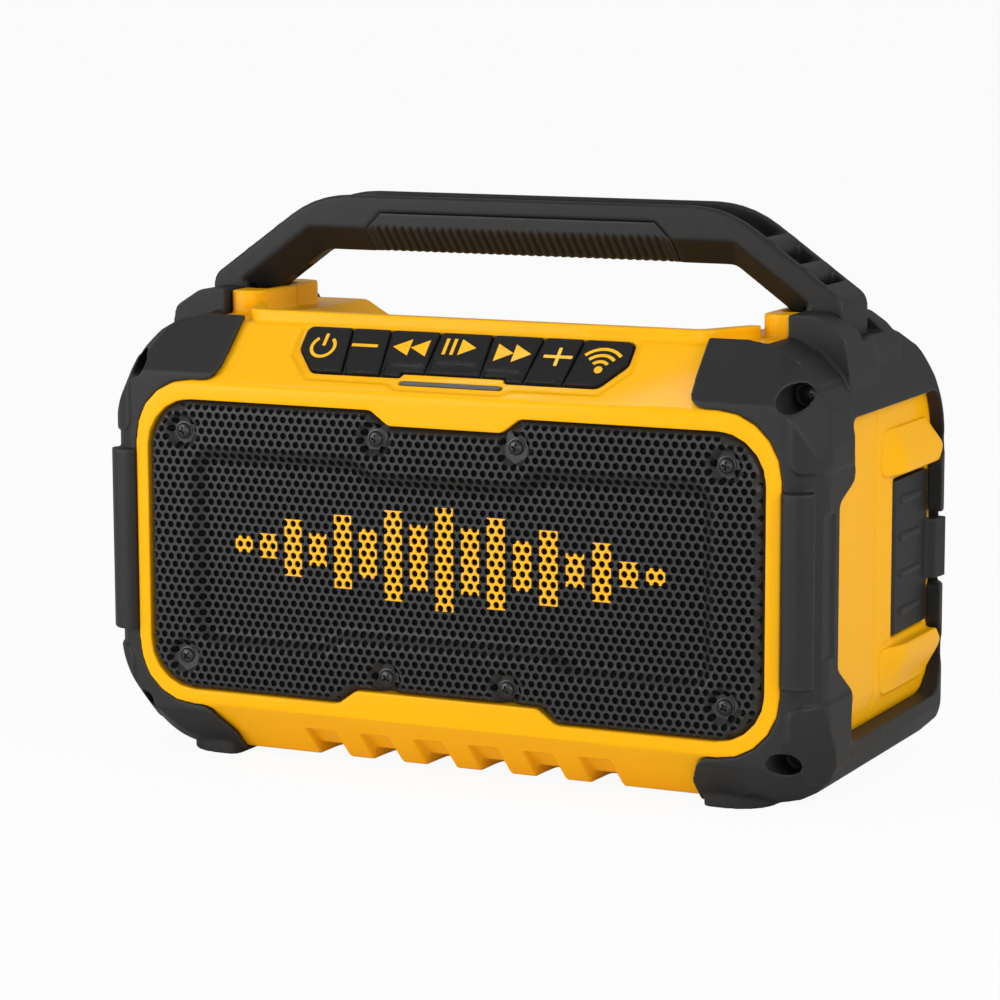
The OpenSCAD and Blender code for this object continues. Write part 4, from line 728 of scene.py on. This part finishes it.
def screw_set(name, node, places, seat_y, sizes):
    """Screws with their heads to the front, each turned a little further than the last."""
    work = bmesh.new()
    one = screw_mesh(**sizes)
    for i, (x, z) in enumerate(places):
        copy = one.copy()
        tipped = Matrix.Rotation(math.radians(90), 4, "X")
        turn = Matrix.Rotation(FIRST_TURN + NEXT_TURN * i, 4, "Z")
        copy.transform(Matrix.Translation(Vector((x, seat_y, z)) * MM) @ tipped @ turn)
        work.from_mesh(copy)
        bpy.data.meshes.remove(copy)
    mesh = bpy.data.meshes.new(name)
    work.to_mesh(mesh)
    work.free()
    return add_piece(name, shaded(mesh, 35), node, slot="black_screw")


WELL_TOP = (121.1, 137.5)
WELL_LOW = (119.0, 18.2)
WELLS = [(side * x, z) for side in (-1, 1) for x, z in (WELL_TOP, WELL_LOW)]
WELL_SEAT_Y = -46.0
GRILLE_SCREW = {"head_r": 2.7, "head_h": 1.5, "washer_r": 3.2, "shank_r": 1.45, "shank_l": 6.5}
CASE_SCREW = {"head_r": 3.0, "head_h": 1.75, "washer_r": 4.1, "shank_r": 1.45, "shank_l": 23.5}
screw_set("grille_cross_screws", "grille_screws", SCREWS, FLANGE_Y + DIMPLE_D, GRILLE_SCREW)
screw_set("case_cross_screws", "case_screws", WELLS, WELL_SEAT_Y, CASE_SCREW)
# The handle screws end below the tops of the posts
POST_TOP_Z = 159.5
handle_screws = frame["nodes"]["handle_screws"].data.copy()
reshaped(handle_screws, lambda points: np.minimum(points, (np.inf, np.inf, POST_TOP_Z)))
add_piece("handle_black_screws", handle_screws, "handle_screws", slot="black_screw")


# Key face: outlines and marks are drawn on the slope as [across, up the slope]

KEY_FACE_AT = (0.0, -62.20, 137.80)
FACE_UP = np.array((0.0, 1.0, 1.0)) / ROOT2
FACE_OUT = np.array((0.0, -1.0, 1.0)) / ROOT2
KEY_TOP = 0.5
MARK_SUNK = 0.25
MARK_PROUD = 0.07
KEY_MOULDING = (0.25, 4, 0.4)


def on_face(points):
    """Places on the slope, and heights above it."""
    off = points - np.array(KEY_FACE_AT)
    return np.stack([off[:, 0], off @ FACE_UP], axis=1), off @ FACE_OUT


def face_prism(outlines, low, high):
    """Points and faces of outlines on the slope, between two heights."""
    points, faces = [], []
    for outline in outlines:
        area = sum(a[0] * b[1] - b[0] * a[1] for a, b in zip(outline, outline[1:] + outline[:1]))
        outline = outline if area > 0 else outline[::-1]
        first, n = len(points), len(outline)
        for height in (low, high):
            base = np.array(KEY_FACE_AT) + FACE_OUT * height
            points += [base + (x, 0, 0) + FACE_UP * v for x, v in outline]
        faces.append(tuple(first + k for k in reversed(range(n))))
        faces.append(tuple(first + n + k for k in range(n)))
        faces += ring_faces(first, n)
    return points, faces


def bar(x0, v0, x1, v1):
    """Outline of an upright rectangle."""
    return [(x0, v0), (x1, v0), (x1, v1), (x0, v1)]


def stroke_arc(x, v, r, width, start, end, steps=24):
    """Outline of a stroke along an arc, in degrees from straight up, clockwise."""
    angles = np.radians(np.linspace(start, end, steps + 1))
    outer = [(x + (r + width / 2) * math.sin(a), v + (r + width / 2) * math.cos(a)) for a in angles]
    inner = [(x + (r - width / 2) * math.sin(a), v + (r - width / 2) * math.cos(a)) for a in angles]
    return inner + outer[::-1]


def arrow(x, v, run, half):
    """Outline of a triangle from its base at x to its tip."""
    return [(x, v - half), (x + run, v), (x, v + half)]


# The printed sign of each key
MARKS = {
    "power_key": [stroke_arc(-52.0, 10.6, 4.3, 1.2, 38, 322), bar(-52.6, 11.0, -51.4, 16.2)],
    "volume_down_key": [bar(-41.4, 11.4, -31.6, 12.6)],
    "previous_key": [arrow(-19.4, 12.1, -6.4, 3.5), arrow(-12.7, 12.1, -6.4, 3.5)],
    "play_key": [bar(-6.9, 9.9, -5.7, 16.7), bar(-4.0, 9.9, -2.8, 16.7), arrow(-1.0, 13.3, 6.0, 3.4)],
    "next_key": [arrow(12.8, 11.9, 6.4, 3.7), arrow(19.3, 11.9, 6.4, 3.7)],
    "volume_up_key": [
        [
            (30.4, 10.8), (35.0, 10.8), (35.0, 7.6), (36.2, 7.6), (36.2, 10.8), (40.8, 10.8),
            (40.8, 12.0), (36.2, 12.0), (36.2, 15.2), (35.0, 15.2), (35.0, 12.0), (30.4, 12.0),
        ],
    ],
    "wireless_key": [
        stroke_arc(51.5, 6.9, 0.75, 1.45, 0, 360), stroke_arc(51.5, 6.9, 3.4, 1.2, -48, 48),
        stroke_arc(51.5, 6.9, 6.0, 1.2, -48, 48), stroke_arc(51.5, 6.9, 8.6, 1.2, -48, 48),
    ],
}


def flipped(outline):
    """The same outline on the other side."""
    return [(-x, v) for x, v in reversed(outline)]


# The tray round the keys and the lens, and the raised plates of the keys
TRAY_D = 0.8
TRAY_BEVEL = 1.6
TRAY_NEAR = 2.0
TRAY_HALF = [(19.5, -6.4), (23.5, -4.1), (54.5, -4.0), (64.0, 6.5), (64.0, 20.4)]
TRAY = np.array(TRAY_HALF + flipped(TRAY_HALF))
PLATE_STEP = 0.45
PLATE_EDGE = 0.4
OUTER_PLATE = [(-42.6, 25.0), (-42.6, 5.4), (-36.5, -0.6), (0.0, -0.6), (0.0, 25.0)]
INNER_PLATE = [(-27.5, 25.0), (-27.5, 8.0), (-23.9, 4.5), (0.0, 4.5), (0.0, 25.0)]
PLATES = {
    "volume_down_key": OUTER_PLATE, "previous_key": INNER_PLATE,
    "play_key": [(-10.0, 25.0), (-10.0, 9.2), (-7.4, 6.3), (7.4, 6.3), (10.0, 9.2), (10.0, 25.0)],
    "next_key": flipped(INNER_PLATE), "volume_up_key": flipped(OUTER_PLATE),
}


def key_shape(key):
    """Lowers the part of a key round its plate."""
    def shape(points):
        spots, heights = on_face(points)
        off = 1.0 - smooth_step(-PLATE_EDGE, PLATE_EDGE, depth_inside(spots, np.array(PLATES[key])))
        sunk = np.where(heights > 0.0, PLATE_STEP * off, 0.0)
        return points - sunk[:, None] * FACE_OUT
    return shape if key in PLATES else None


# The cuts between the ribs of the chin; the slope's upper edge and the cuts' floor are [y, z]
CHIN_PITCH = 20.6
CHIN_SIDE_RIBS = 2
CHIN_RIB_HALF = 5.3
CHIN_HALF_SPAN = 57.0
CHIN_EDGE = 0.4
CHIN_SKIN = 1.2
CHIN_TOP = (-68.0, 20.6)
CUT_TOP_Y = -60.4
CUT_FLOOR = np.array([(-60.0, 14.9), (-50.6, 7.0), (-33.6, 2.2)])


def chin_cuts(points):
    """Widens the cuts between the chin's ribs, with a step at their top and a plain slope above it."""
    x, y, z = points.T
    span = np.abs(x) < CHIN_HALF_SPAN
    slope_z = sum(CHIN_TOP) - y
    above = span & (y > CHIN_TOP[0]) & (y < CUT_TOP_Y) & (z > slope_z) & (z < slope_z + CHIN_SKIN)
    points[above, 2] = slope_z[above]
    rib = np.clip(np.round(x / CHIN_PITCH), -CHIN_SIDE_RIBS, CHIN_SIDE_RIBS)
    off_rib = np.abs(x - CHIN_PITCH * rib)
    share = smooth_step(CHIN_RIB_HALF - CHIN_EDGE, CHIN_RIB_HALF + CHIN_EDGE, off_rib)
    share *= smooth_step(CUT_TOP_Y - CHIN_EDGE, CUT_TOP_Y + CHIN_EDGE, y)
    points[:, 2] += span * share * np.maximum(np.interp(y, *CUT_FLOOR.T) - z, 0.0)


def front_shape(points):
    """Shapes the chin, sinks the tray into the key face and the bosses below the grille's dimples."""
    chin_cuts(points)
    spots, heights = on_face(points)
    near = (np.abs(heights) < TRAY_NEAR) & (points[:, 2] > OPENING_HIGH_Z)
    floor = -TRAY_D * smooth_step(0.0, TRAY_BEVEL, depth_inside(spots[near], TRAY))
    sunk = np.maximum(heights[near] - np.where(floor < 0.0, floor, np.inf), 0.0)
    points[near] -= sunk[:, None] * FACE_OUT
    boss_y = FLANGE_Y + DIMPLE_D + SHEET_T + CLOTH_BEHIND + CLOTH_T
    for x, z in SCREWS:
        boss = np.hypot(points[:, 0] - x, points[:, 2] - z) < BOSS_R
        boss &= points[:, 1] > FLANGE_Y
        points[boss, 1] = np.maximum(points[boss, 1], boss_y)
    return points


# The raised panels on the sides: they rise backward, and fall away from the port cover
SIDE_X = 126.0
PANEL_RISE_Y = (5.0, 27.0)
PANEL_MID_Z = 73.0
PANEL_FALL_Z = (33.0, 46.5)
PANEL_FALL = 0.7


def rear_shape(points):
    """Turns the steps round the raised side panels into slopes."""
    side = np.sign(points[:, 0])
    proud = np.abs(points[:, 0]) - SIDE_X
    share = smooth_step(*PANEL_RISE_Y, points[:, 1])
    share *= 1.0 - PANEL_FALL * smooth_step(*PANEL_FALL_Z, np.abs(points[:, 2] - PANEL_MID_Z))
    points[:, 0] -= side * np.maximum(proud, 0.0) * (1.0 - share)
    return points


LENS = [(-19.0, -2.05), (-17.6, -2.85), (17.6, -2.85), (19.0, -2.05), (17.6, -1.25), (-17.6, -1.25)]
LENS_LOW = -1.6
LENS_TOP = -0.6
LENS_BEVEL = 0.15
lens = baked(
    mesh_of("lens", *face_prism([LENS], LENS_LOW, LENS_TOP)),
    ("BEVEL", {"width": LENS_BEVEL * MM, "segments": 2}),
)
add_piece("hexagon_lens", lens, "status_lens")
for key, sign in MARKS.items():
    soften(key, *KEY_MOULDING, key_shape(key))
    mark = mesh_of("mark", *face_prism(sign, KEY_TOP - MARK_SUNK, KEY_TOP + MARK_PROUD))
    add_piece(key.replace("_key", "_mark"), mark, key, False, "yellow_plastic")


# Mouldings: each solid with its voxel, rounds of relaxing, share of faces kept and reshaping

MOULDINGS = [
    ("front_housing", 0.6, 3, 0.2, front_shape), ("rear_housing", 0.8, 3, 0.2, rear_shape),
    ("left_bumper", 0.5, 5, 0.3), ("right_bumper", 0.5, 5, 0.3),
    ("carry_handle", 0.6, 8, 0.35), ("port_cover", 0.4, 4, 0.5),
]
for moulding in MOULDINGS:
    soften(*moulding)


# Port cover

COVER_X = 126.5
RIDGE_ROWS = [53.71, 66.57, 79.43, 92.29]
RIDGE_FROM_Y = 29.0
RIDGE_TO_Y = 46.8
RIDGE_R = 1.45
RIDGE_PROUD = 1.0
RIDGE_SUNK = 0.3
RIDGE_TURNS = 10
RIDGE_RINGS = 7


def cover_ridges():
    """Round-topped, round-ended finger ridges on the port cover."""
    half = [math.pi * (k / RIDGE_TURNS - 0.5) for k in range(RIDGE_TURNS + 1)]
    domes = np.linspace(0.0, math.radians(84), RIDGE_RINGS)
    rings = [(RIDGE_R, -RIDGE_SUNK)] + [(RIDGE_R * math.cos(a), RIDGE_PROUD * math.sin(a)) for a in domes]
    n = 2 * len(half)
    points, faces = [], []
    for z in RIDGE_ROWS:
        start = len(points)
        for r, proud in rings:
            x = COVER_X + proud
            points += [(x, RIDGE_TO_Y + r * math.cos(a), z + r * math.sin(a)) for a in half]
            points += [(x, RIDGE_FROM_Y - r * math.cos(a), z - r * math.sin(a)) for a in half]
        for i in range(len(rings) - 1):
            faces += ring_faces(start + i * n, n)
        faces.append(tuple(start + k for k in reversed(range(n))))
        faces.append(tuple(start + (len(rings) - 1) * n + k for k in range(n)))
    return add_piece("cover_ridges", shaded(mesh_of("ridges", points, faces), 60), "port_cover", False)


cover_ridges()


# Stage, light and camera

CAMERA_AT = (518.99, -1105.53, 281.22)
CAMERA_ROWS = (
    (0.90163377, 0.43248998, -0.00299304),
    (0.06481668, -0.14196231, -0.98774769),
    (-0.42761587, 0.89039268, -0.15603058),
)
FOCAL_PX = 3530.0
PHOTO_PX = 1000.0
SENSOR_MM = 36.0
FLOOR_HALF = 40.0
FLOOR_DROP = 0.0001
FLOOR_GREY = 0.86
FLOOR_WHITE_SHARE = 0.94
WHITE = (1.0, 1.0, 1.0, 1.0)


def set_camera():
    """The camera that the photograph was solved for."""
    right, down, ahead = (Vector(row) for row in CAMERA_ROWS)
    data = bpy.data.cameras.new("photo_camera")
    data.sensor_width = SENSOR_MM
    data.lens = FOCAL_PX * SENSOR_MM / PHOTO_PX
    data.clip_start = 0.01
    data.clip_end = 100.0
    camera = bpy.data.objects.new("photo_camera", data)
    axes = Matrix((right, -down, -ahead)).transposed()
    camera.matrix_world = Matrix.Translation(Vector(CAMERA_AT) * MM) @ axes.to_4x4()
    bpy.context.scene.collection.objects.link(camera)
    bpy.context.scene.camera = camera


def set_floor():
    """A white floor that keeps a soft shadow."""
    corners = [(x * FLOOR_HALF, y * FLOOR_HALF, 0) for x, y in ((-1, -1), (1, -1), (1, 1), (-1, 1))]
    mesh = bpy.data.meshes.new("floor")
    mesh.from_pydata(corners, [], [(0, 1, 2, 3)])
    floor = bpy.data.objects.new("floor", mesh)
    floor.location.z = -FLOOR_DROP
    bpy.context.scene.collection.objects.link(floor)
    f = Finish("floor_white", Roughness=0.9, Base_Color=shade(FLOOR_GREY))
    seen = f.node("ShaderNodeLightPath", out="Is Camera Ray")
    white = f.node("ShaderNodeEmission", None, {"Color": WHITE, "Strength": 1.0})
    lit = Field(f, f.shader.outputs[0])
    both = f.node("ShaderNodeMixShader", None, {0: seen * FLOOR_WHITE_SHARE, 1: lit, 2: white})
    f.tree.links.new(both.socket, f.output.inputs["Surface"])
    mesh.materials.append(f.material)


def set_world(strength):
    """Even light from all round, white where the camera sees past the floor."""
    world = bpy.data.worlds.new("studio")
    bpy.context.scene.world = world
    world.use_nodes = True
    nodes, links = world.node_tree.nodes, world.node_tree.links
    back = nodes["Background"]
    back.inputs["Color"].default_value = WHITE
    back.inputs["Strength"].default_value = strength
    white = nodes.new("ShaderNodeBackground")
    white.inputs["Color"].default_value = WHITE
    seen = nodes.new("ShaderNodeLightPath")
    both = nodes.new("ShaderNodeMixShader")
    links.new(seen.outputs["Is Camera Ray"], both.inputs[0])
    links.new(back.outputs[0], both.inputs[1])
    links.new(white.outputs[0], both.inputs[2])
    links.new(both.outputs[0], nodes["World Output"].inputs["Surface"])


def add_softbox(name, place, aim, size, power):
    """A rectangular lamp that faces its aim."""
    data = bpy.data.lights.new(name, "AREA")
    data.shape = "RECTANGLE"
    data.size, data.size_y = size
    data.energy = power
    lamp = bpy.data.objects.new(name, data)
    lamp.location = place
    lamp.rotation_mode = "QUATERNION"
    lamp.rotation_quaternion = (Vector(aim) - Vector(place)).to_track_quat("-Z", "Y")
    bpy.context.scene.collection.objects.link(lamp)


# Softboxes in metres and watts; the strips give the key face its two glints
SPEAKER_AT = (0.0, 0.0, 0.08)
GLINT_AT = (0.078, -0.055, 0.145)
GLINT_WAY = (-0.4276, -0.156, 0.890)
GLINT_FAR = 1.2

set_camera()
set_floor()
set_world(0.43)
add_softbox("top_box", (0.0, -0.15, 1.1), SPEAKER_AT, (1.0, 0.7), 0.1)
add_softbox("front_left_box", (-0.75, -1.0, 0.34), SPEAKER_AT, (0.7, 0.7), 8.2)
add_softbox("front_low_box", (0.3, -1.3, 0.12), (0.0, 0.0, 0.12), (1.0, 0.2), 3.2)
add_softbox("right_box", (1.1, -0.2, 0.55), SPEAKER_AT, (0.6, 0.8), 6.6)
for side in (-1, 1):
    spot = Vector((side * GLINT_AT[0], *GLINT_AT[1:]))
    add_softbox("glint_strip", spot + Vector(GLINT_WAY) * GLINT_FAR, spot, (0.03, 0.3), 0.5)

bpy.context.scene.view_settings.view_transform = "Standard"
